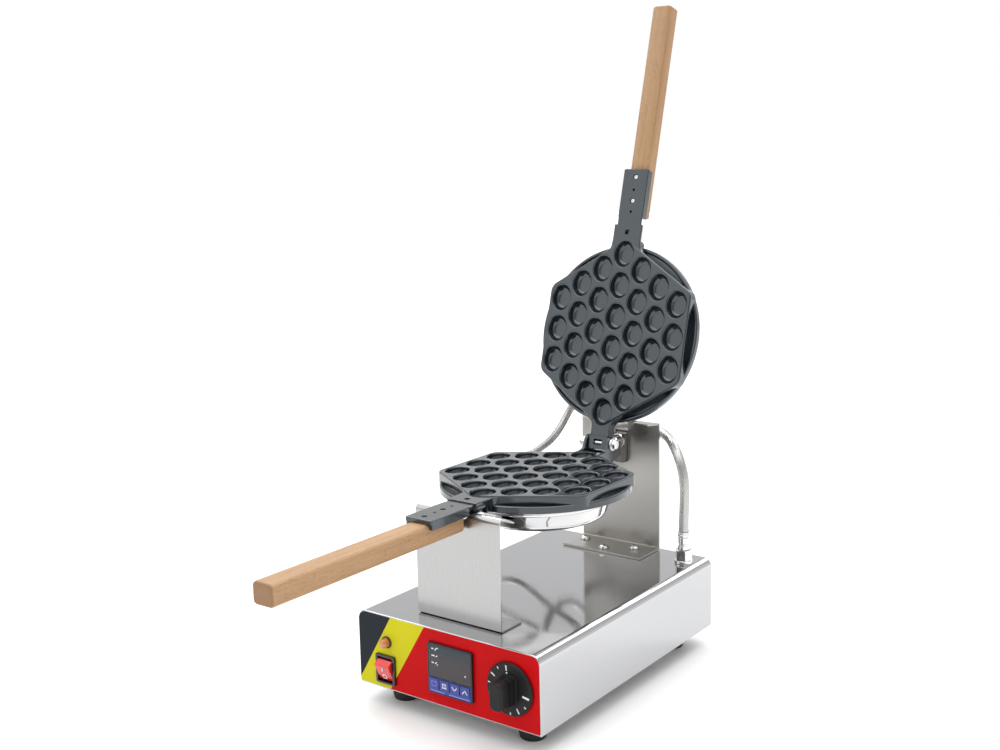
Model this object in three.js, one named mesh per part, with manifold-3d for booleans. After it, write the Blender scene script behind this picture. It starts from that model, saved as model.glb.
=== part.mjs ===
// Bubble waffle maker: a stainless control base carrying a hinged pair of cast cup moulds.
// Millimetres, +Z up, +Y towards the back, the control panel faces -Y.
import * as THREE from 'three';
import { mergeVertices } from 'three/addons/utils/BufferGeometryUtils.js';
import Module from 'manifold-3d';

const wasm = await Module();
wasm.setup();

// ---------------------------------------------------------------- driving dimensions
const BASE_W = 213;            // base width, X
const BASE_D = 316.5;          // base depth, Y
const BASE_H = 73.4;           // base height above its bottom edge
const SHEET = 1.2;             // base sheet thickness
const BEND_R = 9;              // bent long top edges
const FOOT_H = 19.5;           // rubber feet
const FOOT_R = 14.2;
const FOOT_X = 75.5;
const FOOT_Y = [31, 285];
const GAP = 0.3;               // running gap between neighbouring pieces

const MOULD_Y = 147.4;         // mould centre, measured from the front face
const PART_Z = 190.6;          // parting plane of the closed moulds = flip axis height
const HINGE_R = 117.8;         // mould centre to lid hinge axis
const HINGE_UP = 5.4;          // lid hinge axis above the parting plane
const LID_OPEN = 105.7;        // opening angle at rest, degrees

const PITCH = 34.1;            // cup pitch along the handle direction
const COL = 0.7 * PITCH;       // column spacing across
const CUP_A = 11.25;           // cup opening half axes, across and along
const CUP_B = 13.8;
const CUP_DEPTH = 8.5;
const FACE_W = 0.6;            // cup face from the parting plane
const HEX = [[0, 101.7], [87, 47], [87, -47], [0, -101.7], [-87, -47], [-87, 47]];
const PLATE_BACK = 8.9;        // raised plate meets the round flange
const RIM_R = 95.4;
const CAST_BACK = 15.6;        // back face of the casting
const NECK_W = 15.2;           // half width of the neck
const NECK_TOP = 3.1;          // neck plate face from the parting plane
const NECK_END = 178.5;
const NECK_STEP = 117.3;       // wide journal ends, narrow neck begins
const JOURNAL_R = 17.5;        // wide journal radius
const NECK_FACE = 1.8;         // wide journal face from the parting plane
const JOURNAL = [98, 126];     // round journal under the neck
const HANDLE_V = [127.9, 360.8];
const HANDLE_HALF = 11.25;
const HANDLE_W = [7.4, 26.6];
const HANDLE_CHAMFER = 3.6;
const PAN_DEPTH = 41.8;        // pan bottom from the parting plane

const BRACKET_X = [-51, 47];   // front bracket
const BRACKET_Y = 24.2;
const BRACKET_TOP = 179.4;
const UPRIGHT_X = [-51, 46.5]; // rear upright
const UPRIGHT_Y = 309.4;
const UPRIGHT_T = 2.2;
const UPRIGHT_TOP = 213.4;
const SLOT_HALF = 8;
const SLOT_BOTTOM = 166;

const CTRL = { x: 7.8, z: 36.9, w: 52, h: 48.2 };  // controller, panel centre and front size
const ROCKER = { x: -71.9, z: 20.4, w: 24, h: 28.8 };
const LAMP = { x: -70.4, z: 47.6, r: 5.5 };
const TIMER = { x: 75.1, z: 37.4, r: 24.8 };

const HOSE_R = 5.2;            // feed conduit radius
const JUMPER_R = 4.0;          // jumper conduit radius
const FITTING = { x: 88, y: 289 };

const Y_SHIFT = -100.64;       // puts the origin under the middle of the whole object

// ---------------------------------------------------------------- helpers
function tidy(geometry) {
  const g = geometry.index ? geometry.toNonIndexed() : geometry.clone();
  for (const name of Object.keys(g.attributes)) if (name !== 'position') g.deleteAttribute(name);
  const m = mergeVertices(g, 1e-4);
  const p = m.attributes.position.array;
  const src = m.index.array;
  const keep = [];
  let volume = 0;
  for (let i = 0; i < src.length; i += 3) {
    const [a, b, c] = [src[i], src[i + 1], src[i + 2]];
    if (a === b || b === c || a === c) continue;
    keep.push(a, b, c);
    const [ax, ay, az] = [p[3 * a], p[3 * a + 1], p[3 * a + 2]];
    const [bx, by, bz] = [p[3 * b], p[3 * b + 1], p[3 * b + 2]];
    const [cx, cy, cz] = [p[3 * c], p[3 * c + 1], p[3 * c + 2]];
    volume += ax * (by * cz - bz * cy) + ay * (bz * cx - bx * cz) + az * (bx * cy - by * cx);
  }
  if (volume < 0) for (let i = 0; i < keep.length; i += 3) [keep[i], keep[i + 1]] = [keep[i + 1], keep[i]];
  m.setIndex(keep);
  return m;
}
function solid(geometry) {
  const m = tidy(geometry);
  return new wasm.Manifold(new wasm.Mesh({
    numProp: 3,
    vertProperties: new Float32Array(m.attributes.position.array),
    triVerts: new Uint32Array(m.index.array),
  }));
}
function geometryOf(man) {
  const mesh = man.getMesh();
  const g = new THREE.BufferGeometry();
  g.setAttribute('position', new THREE.BufferAttribute(new Float32Array(mesh.vertProperties), 3));
  g.setIndex(new THREE.BufferAttribute(new Uint32Array(mesh.triVerts), 1));
  g.computeVertexNormals();
  return g;
}
// box between two corners
function block(x0, x1, y0, y1, z0, z1) {
  const g = new THREE.BoxGeometry(x1 - x0, y1 - y0, z1 - z0);
  g.translate((x0 + x1) / 2, (y0 + y1) / 2, (z0 + z1) / 2);
  return g;
}
// cylinder (or cone) between two heights along an axis
function rod(axis, r, from, to, a, b, sides = 16, r2 = r) {
  const g = new THREE.CylinderGeometry(r2, r, to - from, sides);
  g.translate(0, (from + to) / 2, 0);
  if (axis === 'z') { g.rotateX(Math.PI / 2); g.translate(a, b, 0); }
  else if (axis === 'x') { g.rotateZ(-Math.PI / 2); g.translate(0, a, b); }
  else g.translate(a, 0, b);
  return g;
}
// profile [radius, height] turned about Z; the profile closes on itself or on the axis
function turned(profile, sides = 32) {
  const g = new THREE.LatheGeometry(profile.map(([r, z]) => new THREE.Vector2(r, z)), sides);
  g.rotateX(Math.PI / 2);
  return g;
}
// outline with rounded corners; points are [x, y] or [x, y, radius]
function outline(points, radius = 0, steps = 3) {
  const shape = new THREE.Shape();
  const n = points.length;
  const out = [];
  for (let i = 0; i < n; i++) {
    const p = new THREE.Vector2(points[i][0], points[i][1]);
    const a = new THREE.Vector2(points[(i + n - 1) % n][0], points[(i + n - 1) % n][1]).sub(p);
    const b = new THREE.Vector2(points[(i + 1) % n][0], points[(i + 1) % n][1]).sub(p);
    const r = points[i][2] ?? radius;
    if (r <= 0) { out.push(p); continue; }
    const la = a.length(), lb = b.length();
    a.divideScalar(la); b.divideScalar(lb);
    const half = Math.acos(THREE.MathUtils.clamp(a.dot(b), -1, 1)) / 2;
    const t = r / Math.tan(half);
    const c = a.clone().add(b).normalize().multiplyScalar(r / Math.sin(half)).add(p);
    const p0 = a.clone().multiplyScalar(t).add(p), p1 = b.clone().multiplyScalar(t).add(p);
    const a0 = Math.atan2(p0.y - c.y, p0.x - c.x);
    let d = Math.atan2(p1.y - c.y, p1.x - c.x) - a0;
    while (d > Math.PI) d -= 2 * Math.PI;
    while (d < -Math.PI) d += 2 * Math.PI;
    for (let k = 0; k <= steps; k++) {
      const w = a0 + (d * k) / steps;
      out.push(new THREE.Vector2(c.x + r * Math.cos(w), c.y + r * Math.sin(w)));
    }
  }
  shape.setFromPoints(out);
  return shape;
}
const rectangle = (x0, x1, y0, y1, r, steps) => outline([[x0, y0], [x1, y0], [x1, y1], [x0, y1]], r, steps);
// outline in XY raised from z0 to z1
function raised(shape, z0, z1, bevel = 0) {
  const g = new THREE.ExtrudeGeometry(shape, {
    depth: z1 - z0 - 2 * bevel, bevelEnabled: bevel > 0, bevelThickness: bevel, bevelSize: bevel,
    bevelOffset: -bevel, bevelSegments: 1, curveSegments: 8, steps: 1,
  });
  g.translate(0, 0, z0 + bevel);
  return g;
}
// outline in XZ pushed from y0 to y1
function pushed(shape, y0, y1, bevel = 0) {
  const g = raised(shape, -y1, -y0, bevel);
  g.rotateX(Math.PI / 2);
  return g;
}
// outline in YZ pushed from x0 to x1
function across(shape, x0, x1) {
  const g = raised(shape, x0, x1);
  g.rotateY(Math.PI / 2);
  g.rotateX(Math.PI / 2);
  return g;
}
// round tube along points
function tube(points, r, sides, stations) {
  const curve = new THREE.CatmullRomCurve3(points.map((p) => new THREE.Vector3(...p)), false, 'centripetal');
  const ring = new THREE.Shape();
  const pts = [];
  for (let i = 0; i < sides; i++) pts.push(new THREE.Vector2(r * Math.cos((2 * Math.PI * i) / sides), r * Math.sin((2 * Math.PI * i) / sides)));
  ring.setFromPoints(pts);
  return new THREE.ExtrudeGeometry(ring, { steps: stations, extrudePath: curve, bevelEnabled: false });
}
const join = (...geometries) => geometries.map((g) => (g.attributes ? solid(g) : g)).reduce((a, b) => a.add(b));
const cut = (body, ...tools) => tools.reduce((a, t) => a.subtract(t.attributes ? solid(t) : t), body.attributes ? solid(body) : body);

// ---------------------------------------------------------------- materials
const finish = (color, roughness, metalness) => new THREE.MeshStandardMaterial({ color, roughness, metalness });
const STEEL = finish(0xb9b8b6, 0.32, 1.0);
const POLISHED = finish(0xd6d6d6, 0.1, 1.0);
const CASTING = finish(0x2b3037, 0.45, 0.4);
const BEECH = finish(0xd3a878, 0.55, 0.0);
const RUBBER = finish(0x17181a, 0.8, 0.0);
const BLACK = finish(0x141517, 0.35, 0.0);
const WINDOW = finish(0x4a4e52, 0.15, 0.0);
const KEY = finish(0x2f59a8, 0.4, 0.0);
const RED = finish(0xd8151b, 0.3, 0.0);
const DECAL = finish(0xc8161c, 0.35, 0.0);
const AMBER = finish(0xb5531c, 0.2, 0.0);
const BRAID = finish(0xa9a9a6, 0.35, 1.0);
const BRASS = finish(0xb08d4a, 0.35, 1.0);
const BAKELITE = finish(0x241a16, 0.5, 0.0);
const OXIDE = finish(0x5c5650, 0.5, 0.9);
const CREAM = finish(0xd9d6cc, 0.5, 0.0);

function mesh(name, geometry, material) {
  const g = geometry.attributes ? tidy(geometry) : tidy(geometryOf(geometry));
  g.computeVertexNormals();
  const m = new THREE.Mesh(g, material);
  m.name = name;
  return m;
}

const machine = new THREE.Group();
const base = new THREE.Group();      // everything that stands still
base.position.set(0, Y_SHIFT, FOOT_H);
machine.add(base);

// ---------------------------------------------------------------- base
const W2 = BASE_W / 2;
{
  const outer = outline([[-W2, 0, 0], [W2, 0, 0], [W2, BASE_H, BEND_R], [-W2, BASE_H, BEND_R]], 0, 5);
  const inner = outline([[-W2 + SHEET, -1, 0], [W2 - SHEET, -1, 0], [W2 - SHEET, BASE_H - SHEET, BEND_R - SHEET], [-W2 + SHEET, BASE_H - SHEET, BEND_R - SHEET]], 0, 5);
  let cover = cut(pushed(outer, 0, BASE_D), pushed(inner, SHEET, BASE_D - SHEET));
  cover = cut(cover,
    pushed(rectangle(CTRL.x - 22.5, CTRL.x + 22.5, CTRL.z - 22.5, CTRL.z + 22.5, 0), -1, 2),
    pushed(rectangle(ROCKER.x - 10.9, ROCKER.x + 10.9, ROCKER.z - 13.3, ROCKER.z + 13.3, 0), -1, 2),
    rod('y', LAMP.r, -1, 2, LAMP.x, LAMP.z, 12),
    rod('y', 5, -1, 2, TIMER.x, TIMER.z, 12),
    rod('z', 6.4, BASE_H - 3, BASE_H + 1, FITTING.x, FITTING.y, 12),
    rod('y', 8.3, BASE_D - 3, BASE_D + 1, -62, 30, 12),
    ...[0, 1, 2, 3, 4].map((i) => pushed(rectangle(-20 + 14 * i, -12 + 14 * i, 26, 50, 0), BASE_D - 3, BASE_D + 1)),
  );
  base.add(mesh('base_cover', cover, STEEL));

  const bottom = block(-W2 + SHEET + 0.4, W2 - SHEET - 0.4, SHEET + 0.4, BASE_D - SHEET - 0.4, 0, SHEET);
  base.add(mesh('bottom_plate', bottom, STEEL));

  // graphic overlay on the front face, striped black, yellow and red
  let overlay = pushed(outline([[-W2 + 0.8, 1.4, 1], [W2 - 0.8, 1.4, 1], [W2 - 0.8, BASE_H - 0.9, 8.4], [-W2 + 0.8, BASE_H - 0.9, 8.4]], 0, 4), -0.7, -0.3);
  overlay = cut(overlay,
    pushed(rectangle(CTRL.x - 22.5, CTRL.x + 22.5, CTRL.z - 22.5, CTRL.z + 22.5, 0), -2, 2),
    pushed(rectangle(ROCKER.x - 10.9, ROCKER.x + 10.9, ROCKER.z - 13.3, ROCKER.z + 13.3, 0), -2, 2),
    rod('y', LAMP.r, -2, 2, LAMP.x, LAMP.z, 12),
    rod('y', 5, -2, 2, TIMER.x, TIMER.z, 12));
  base.add(mesh('front_overlay', overlay, DECAL));

  const feet = [['front_left_foot', -FOOT_X, FOOT_Y[0]], ['front_right_foot', FOOT_X, FOOT_Y[0]], ['rear_left_foot', -FOOT_X, FOOT_Y[1]], ['rear_right_foot', FOOT_X, FOOT_Y[1]]];
  for (const [name, x, y] of feet) {
    const foot = mesh(name, turned([[0, -FOOT_H], [FOOT_R - 2.2, -FOOT_H], [FOOT_R - 1.4, -FOOT_H + 1], [FOOT_R, -GAP], [0, -GAP]], 16), RUBBER);
    foot.position.set(x, y, 0);
    base.add(foot);
  }
}

// ---------------------------------------------------------------- front bracket with its journal saddle
{
  const y = BRACKET_Y, z0 = BASE_H + GAP, t = 1.5, zt = BRACKET_TOP;
  // bent strip: foot flange to the back, plate, rounded shoulder, top flange sloping down to the back
  const dy = 23, dz = -dy * Math.tan(THREE.MathUtils.degToRad(25)), q = 1.62;
  const strip = outline([
    [y + 31.4, z0], [y, z0, 2.4], [y, zt + 3.4, 5.5], [y + dy, zt + 3.4 + dz], [y + dy - 0.63, zt + 3.4 + dz - 1.36], [y + t, zt + 3.4 - q + (-t) * 0.466 + 0.0, 4], [y + t, z0 + t, 0.9], [y + 31.4, z0 + t],
  ], 0, 4);
  const saddle = rod('y', JOURNAL_R + GAP, y - 2, y + 30, 0, PART_Z, 32);
  const plate = cut(across(strip, BRACKET_X[0], BRACKET_X[1]), saddle,
    rod('z', 2.3, z0 - 2, z0 + 5, -33, y + 20, 10), rod('z', 2.3, z0 - 2, z0 + 5, 29, y + 20, 10));
  base.add(mesh('front_bracket', plate, STEEL));
  for (const [name, x] of [['front_bracket_screw_left', -33], ['front_bracket_screw_right', 29]]) {
    const s = mesh(name, turned([[0, 1.0], [2, 1.0], [2, t + GAP], [4.2, t + GAP], [3.6, t + 2.2], [2, t + 2.9], [0, t + 2.9]], 12), POLISHED);
    s.position.set(x, y + 20, z0);
    base.add(s);
  }
}

// ---------------------------------------------------------------- rear upright, slotted for the pivot block
{
  const z0 = BASE_H + GAP, y0 = UPRIGHT_Y, y1 = UPRIGHT_Y + UPRIGHT_T, zt = UPRIGHT_TOP;
  const strip = outline([[y0 - 40.8, z0], [y1, z0, 2.6], [y1, zt], [y0, zt], [y0, z0 + UPRIGHT_T, 0.6], [y0 - 40.8, z0 + UPRIGHT_T]], 0, 3);
  let plate = solid(across(strip, UPRIGHT_X[0], UPRIGHT_X[1]));
  const slot = pushed(outline([[-SLOT_HALF, SLOT_BOTTOM, 3.5], [SLOT_HALF, SLOT_BOTTOM, 3.5], [SLOT_HALF, zt + 5], [-SLOT_HALF, zt + 5]], 0, 3), y0 - 3, y1 + 3);
  plate = cut(plate, slot, ...[[-38, 293.5], [-3.5, 277], [25, 293.5]].map(([x, y]) => rod('z', 2.3, z0 - 2, z0 + 5, x, y, 10)));
  // forward-bent stiffening lips at the top edge, one each side of the slot
  const lip = (xa, xb, slant) => {
    const s = new THREE.Shape();
    s.setFromPoints([[xa, y0 + 0.6], [xb, y0 + 0.6], [xb - (slant > 0 ? 8 : 0), y0 - 9.5], [xa + (slant < 0 ? 8 : 0), y0 - 9.5]].map(([x, y]) => new THREE.Vector2(x, y)));
    return raised(s, zt - 2, zt);
  };
  plate = join(plate, lip(20, UPRIGHT_X[1] - 0.5, 1), lip(UPRIGHT_X[0] + 0.5, -24, -1));
  base.add(mesh('rear_upright', plate, STEEL));
  for (const [name, x, y] of [['upright_screw_left', -38, 293.5], ['upright_screw_middle', -3.5, 277], ['upright_screw_right', 25, 293.5]]) {
    const s = mesh(name, turned([[0, 1.0], [2, 1.0], [2, UPRIGHT_T + GAP], [5.2, UPRIGHT_T + GAP], [5.0, UPRIGHT_T + 1.3], [3.2, UPRIGHT_T + 3.2], [0, UPRIGHT_T + 3.7]], 12), POLISHED);
    s.position.set(x, y, z0);
    base.add(s);
  }
  // bearing block that drops into the slot and carries the flip shaft
  const tongue = pushed(outline([[-SLOT_HALF + GAP, SLOT_BOTTOM + GAP, 3.5], [SLOT_HALF - GAP, SLOT_BOTTOM + GAP, 3.5], [SLOT_HALF - GAP, 199], [-SLOT_HALF + GAP, 199]], 0, 3), 303.6, 313);
  const back = pushed(outline([[-13, SLOT_BOTTOM - 2, 3], [13, SLOT_BOTTOM - 2, 3], [13, 201], [-13, 201]], 0, 2), y1 + GAP, 318);
  base.add(mesh('pivot_bearing_block', cut(join(tongue, back), rod('y', 5.3, 300, 321, 0, PART_Z, 20)), OXIDE));
}

// ---------------------------------------------------------------- panel controls
{
  // temperature controller: case through the cut-out, bezel outside, display window and four keys
  const { x, z, w, h } = CTRL;
  const keyX = [0, 1, 2, 3].map((i) => x - 18 + 12 * i);
  const bezel = cut(
    pushed(rectangle(x - w / 2, x + w / 2, z - h / 2, z + h / 2, 2.2, 2), -3.6, -1.0),
    pushed(rectangle(x - w / 2 + 1.5, x + w / 2 - 1.5, z - 8, z + h / 2 - 1.3, 0), -8, -2.6),
    ...keyX.map((kx) => pushed(rectangle(kx - 5.7, kx + 5.7, z - 19.8, z - 9.2, 0), -8, -1.7)),
  );
  base.add(mesh('controller_bezel', bezel, BLACK));
  base.add(mesh('controller_case', block(x - 22, x + 22, -0.7, 62, z - 22, z + 22), BLACK));
  base.add(mesh('controller_window', pushed(rectangle(x - w / 2 + 1.8, x + w / 2 - 1.8, z - 7.7, z + h / 2 - 1.6, 0.8, 1), -3.4, -2.9), WINDOW));
  keyX.forEach((kx, i) => base.add(mesh(`controller_key_${i + 1}`, pushed(rectangle(kx - 5.4, kx + 5.4, z - 19.5, z - 9.5, 1, 1), -4.4, -2.9), KEY)));

  // rocker switch
  const r = ROCKER;
  let housing = join(
    pushed(rectangle(r.x - r.w / 2, r.x + r.w / 2, r.z - r.h / 2, r.z + r.h / 2, 1.5, 2), -3.0, -1.0),
    block(r.x - 10.5, r.x + 10.5, -1.2, 24, r.z - 12.9, r.z + 12.9));
  housing = cut(housing, block(r.x - 9.2, r.x + 9.2, -4, 12, r.z - 12.3, r.z + 12.3));
  base.add(mesh('rocker_housing', housing, BLACK));
  const rocker = across(outline([[-0.4, -11.2, 0.8], [-8.2, 5.6, 1], [-2.8, 9.9, 0.8], [3.5, 8.8, 1], [8, 0, 2], [3.5, -9.3, 1]], 0, 2), -8.8, 8.8);
  const rk = mesh('rocker', rocker, RED);
  rk.position.set(r.x, 0, r.z);
  base.add(rk);

  // indicator lamp
  const lens = mesh('lamp_lens', turned([[0, -3.5], [4.3, -3.5], [4.3, 5.2], [3.6, 7.2], [2.0, 8.2], [0, 8.4]], 16), AMBER);
  const bez = mesh('lamp_bezel', cut(turned([[0, -14], [5.2, -14], [5.2, 1.0], [6.0, 1.0], [6.0, 1.9], [5.5, 2.5], [0, 2.5]], 20), rod('z', 4.6, -4, 8, 0, 0, 16)), BLACK);
  for (const m of [lens, bez]) { m.position.set(LAMP.x, 0, LAMP.z); m.rotation.x = Math.PI / 2; base.add(m); }

  // timer: clockwork case behind the panel, shaft, scale disc and bar knob
  const t = TIMER;
  const tcase = cut(join(
    pushed(rectangle(t.x - 20, t.x + 20, t.z - 20, t.z + 20, 3, 2), SHEET + 0.4, 34),
    rod('y', 4.6, -0.4, 4, t.x, t.z, 12)), rod('y', 3.3, -3, 14, t.x, t.z, 12));
  base.add(mesh('timer_case', tcase, BAKELITE));
  base.add(mesh('timer_shaft', rod('y', 3, -6.5, 13, t.x, t.z, 12), BRASS));
  // knob: skirt disc with a deep bar grip, drafted towards the front
  const skirt = turned([[0, 1.2], [t.r - 0.6, 1.2], [t.r, 2.0], [t.r - 0.6, 3.6], [t.r - 4.2, 4.4], [0, 4.4]], 40);
  const foot = raised(rectangle(-8.4, 8.4, -13.4, 13.4, 5, 2), 4, 12);
  const bar = raised(rectangle(-7.1, 7.1, -13, 13, 5, 2), 11, 24, 1.2);
  const knob = mesh('timer_knob', cut(join(skirt, foot, bar), rod('z', 3.3, 0, 7, 0, 0, 12)), BLACK);
  knob.position.set(t.x, 0, t.z);
  knob.rotation.set(Math.PI / 2, 0, 0);
  base.add(knob);
}

// ---------------------------------------------------------------- inside the base, and the inlets
{
  base.add(mesh('terminal_block', cut(block(-30, 30, 170, 190, SHEET + GAP, 20),
    ...[0, 1, 2, 3, 4].map((i) => block(-26 + 11 * i, -18 + 11 * i, 165, 195, 12, 25))), CREAM));
  base.add(mesh('solid_state_relay', join(block(-80, -35, 90, 148, SHEET + GAP, 6), block(-78, -37, 92, 146, 5, 26)), BLACK));
  // mains inlet gland in the back wall
  const gland = mesh('mains_inlet_gland', cut(turned([[0, -12], [7.6, -12], [7.6, 0.3], [12, 0.3], [12, 6], [10, 8], [8.6, 16], [0, 16]], 12), rod('z', 4.2, -14, 18, 0, 0, 12)), BLACK);
  gland.position.set(-62, BASE_D, 30);
  gland.rotation.x = -Math.PI / 2;
  base.add(gland);
  // conduit fitting on the top, with the ferrule crimped on the conduit end
  const f = new THREE.Group();
  f.position.set(FITTING.x, FITTING.y, BASE_H);
  const bore = rod('z', 3.6, -12, 30, 0, 0, 12);
  const nut = raised(outline([0, 1, 2, 3, 4, 5].map((i) => [9.2 * Math.cos((i * Math.PI) / 3), 9.2 * Math.sin((i * Math.PI) / 3)])), 3.4, 14.5, 0.8);
  f.add(mesh('conduit_fitting', cut(join(turned([[0, -9], [6, -9], [6, GAP], [9.6, GAP], [9.6, 3.8], [0, 3.8]], 20), nut), bore), POLISHED));
  f.add(mesh('conduit_ferrule', cut(turned([[0, 14.9], [6.2, 14.9], [6.2, 18.5], [5.2, 20], [5.2, 28], [6.3, 29], [6.3, 33.6], [0, 33.6]], 20), rod('z', 3.6, 12, 36, 0, 0, 12)), POLISHED));
  base.add(f);
}

// ---------------------------------------------------------------- mould castings
// Mould frame: x across, y along the handle from the mould centre, z from the parting plane to the back.
const cupCentres = [];
for (let c = -3; c <= 3; c++) {
  const n = 6 - Math.abs(c);
  for (let j = 0; j < n; j++) cupCentres.push([c * COL, (j - (n - 1) / 2) * PITCH]);
}
function cupTool() {
  const g = turned([[0, -1], [1.06, -1], [1.0, FACE_W], [0.72, FACE_W + CUP_DEPTH], [0, FACE_W + CUP_DEPTH]], 10);
  g.scale(CUP_A, CUP_B, 1);
  return g;
}
const cupTools = () => cupCentres.map(([x, y]) => { const g = cupTool(); g.translate(x, y, 0); return g; });
function castingBody() {
  const plate = raised(outline(HEX, 12, 3), FACE_W, PLATE_BACK + 0.4);
  const rim = turned([[0, PLATE_BACK], [RIM_R - 1, PLATE_BACK], [RIM_R, PLATE_BACK + 1], [RIM_R, CAST_BACK], [0, CAST_BACK]], 48);
  // neck: a wide half-round journal, then a narrower one that carries the strap
  const root = raised(outline([[-JOURNAL_R - 6, 84], [JOURNAL_R + 6, 84], [JOURNAL_R, 94], [JOURNAL_R, 99.5], [-JOURNAL_R, 99.5], [-JOURNAL_R, 94]]), NECK_FACE, 9);
  const under = block(-NECK_W, NECK_W, 84, JOURNAL[0] + 1, 6, CAST_BACK);
  const wide = cut(rod('y', JOURNAL_R, JOURNAL[0], NECK_STEP, 0, 0, 32), block(-30, 30, 90, 140, -30, NECK_FACE));
  const narrow = cut(rod('y', NECK_W, NECK_STEP - 1, JOURNAL[1], 0, 0, 32), block(-30, 30, 90, 140, -30, NECK_TOP));
  const strap = raised(rectangle(-NECK_W, NECK_W, JOURNAL[1] - 1.6, NECK_END, 1.5, 1), NECK_TOP, HANDLE_W[0] - GAP);
  const lipLeft = block(-NECK_W, -HANDLE_HALF - GAP, JOURNAL[1] - 2, NECK_END - 1.6, NECK_TOP + 1, 12);
  const lipRight = block(HANDLE_HALF + GAP, NECK_W, JOURNAL[1] - 2, NECK_END - 1.6, NECK_TOP + 1, 12);
  return cut(join(plate, rim, root, under, wide, narrow, strap, lipLeft, lipRight),
    rod('z', 2.7, 0, 10, 0, 169.7, 12), rod('z', 1.5, 0, 10, 0, 155.5, 8), rod('z', 2.7, 0, 10, 0, 143.7, 12), rod('z', 1.5, 0, 10, 0, 131.5, 8),
    block(-2.6, 2.6, 106.6, 112, -1, 6));
}
const HV = -HINGE_R;
// lower casting: fork lugs outside the knuckle, joined behind it by the pivot boss
{
  const lower = new THREE.Group();
  lower.position.set(0, MOULD_Y, PART_Z);
  lower.rotation.x = Math.PI;          // z of the mould frame points down
  base.add(lower);
  const hw = -HINGE_UP;
  const lug = (x0, x1) => join(
    rod('x', 8, x0, x1, HV, hw, 20),
    across(outline([[HV + 26, CAST_BACK], [HV + 30, FACE_W + 0.4], [HV + 12, FACE_W], [HV + 5, hw - 6.2], [HV - 5, hw - 6.2], [HV - 9.6, hw + 1], [HV - 18, hw + 1], [HV - 18, 9], [HV + 4, CAST_BACK]]), x0, x1));
  const boss = block(-15.4, 15.4, HV - 18, HV - 9.6, hw - 0.4, 9);
  const casting = cut(join(castingBody(), lug(11.9, 15.4), lug(-15.4, -11.9), boss), ...cupTools(),
    rod('x', 3.3, -20, 20, HV, hw, 12),
    rod('y', 5.3, HV - 25, HV - 11.2, 0, 0, 20),
    block(-11.9, 11.9, HV - 9.6, HV + 10.2, -20, 8.6));
  lower.add(mesh('lower_casting', casting, CASTING));
  addMouldParts(lower, 'lower');
  // hinge bolt through the knuckle
  const hexBolt = raised(outline([0, 1, 2, 3, 4, 5].map((i) => [5 * Math.cos((i * Math.PI) / 3), 5 * Math.sin((i * Math.PI) / 3)])), 17.4, 20.9, 0.5);
  const bolt = join(rod('z', 3, -24.5, 18, 0, 0, 12), hexBolt);
  const bm = mesh('hinge_bolt', bolt, POLISHED);
  bm.position.set(0, HV, hw); bm.rotation.y = Math.PI / 2; lower.add(bm);
  const ring = (name, r, a, b, six) => {
    const o = six ? raised(outline([0, 1, 2, 3, 4, 5].map((i) => [r * Math.cos((i * Math.PI) / 3), r * Math.sin((i * Math.PI) / 3)])), a, b, 0.4) : rod('z', r, a, b, 0, 0, 16);
    const m = mesh(name, cut(o, rod('z', 3.3, a - 2, b + 2, 0, 0, 12)), POLISHED);
    m.position.set(0, HV, hw); m.rotation.y = Math.PI / 2; lower.add(m);
  };
  ring('hinge_washer', 6.8, 15.7, 17.1, false);
  ring('hinge_nut', 5.6, -22.4, -15.8, true);
  // flip shaft, its front collar and its rear nut
  lower.add(mesh('flip_shaft', rod('y', 5, HV - 61, HV - 11.6, 0, 0, 20), POLISHED));
  const collar = (name, a, b, r, sides) => mesh(name, cut(rod('y', r, HV - b, HV - a, 0, 0, sides), rod('y', 5.3, HV - b - 1, HV - a + 1, 0, 0, 20)), POLISHED);
  lower.add(collar('flip_shaft_collar', 34, 37.9, 8.2, 20));
  lower.add(collar('flip_shaft_nut', 53.4, 59.5, 8.2, 6));
}
// upper casting: single knuckle between the lower lugs
{
  const lid = new THREE.Group();
  lid.position.set(0, MOULD_Y + HINGE_R, PART_Z + HINGE_UP);
  lid.rotation.x = THREE.MathUtils.degToRad(-LID_OPEN);
  base.add(lid);
  const upper = new THREE.Group();
  upper.position.set(0, -HINGE_R, -HINGE_UP);
  upper.rotation.z = Math.PI;
  lid.add(upper);
  const hw = HINGE_UP;
  const knuckle = cut(join(
    rod('x', 8.3, -11.4, 11.4, HV, hw, 20),
    raised(outline([[-24, -88], [24, -88], [11.4, -104], [11.4, HV], [-11.4, HV], [-11.4, -104]]), 2.2, hw + 8)),
    block(-12, 12, HV - 9, HV + 9, -4, FACE_W));
  // the pocket in the knuckle shows the hinge bolt
  const casting = cut(join(castingBody(), knuckle), ...cupTools(),
    rod('x', 3.3, -20, 20, HV, hw, 12),
    raised(rectangle(-5.2, 5.2, HV - 2.6, HV + 3.4, 0), -10, hw));
  upper.add(mesh('upper_casting', casting, CASTING));
  addMouldParts(upper, 'upper');
}
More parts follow.
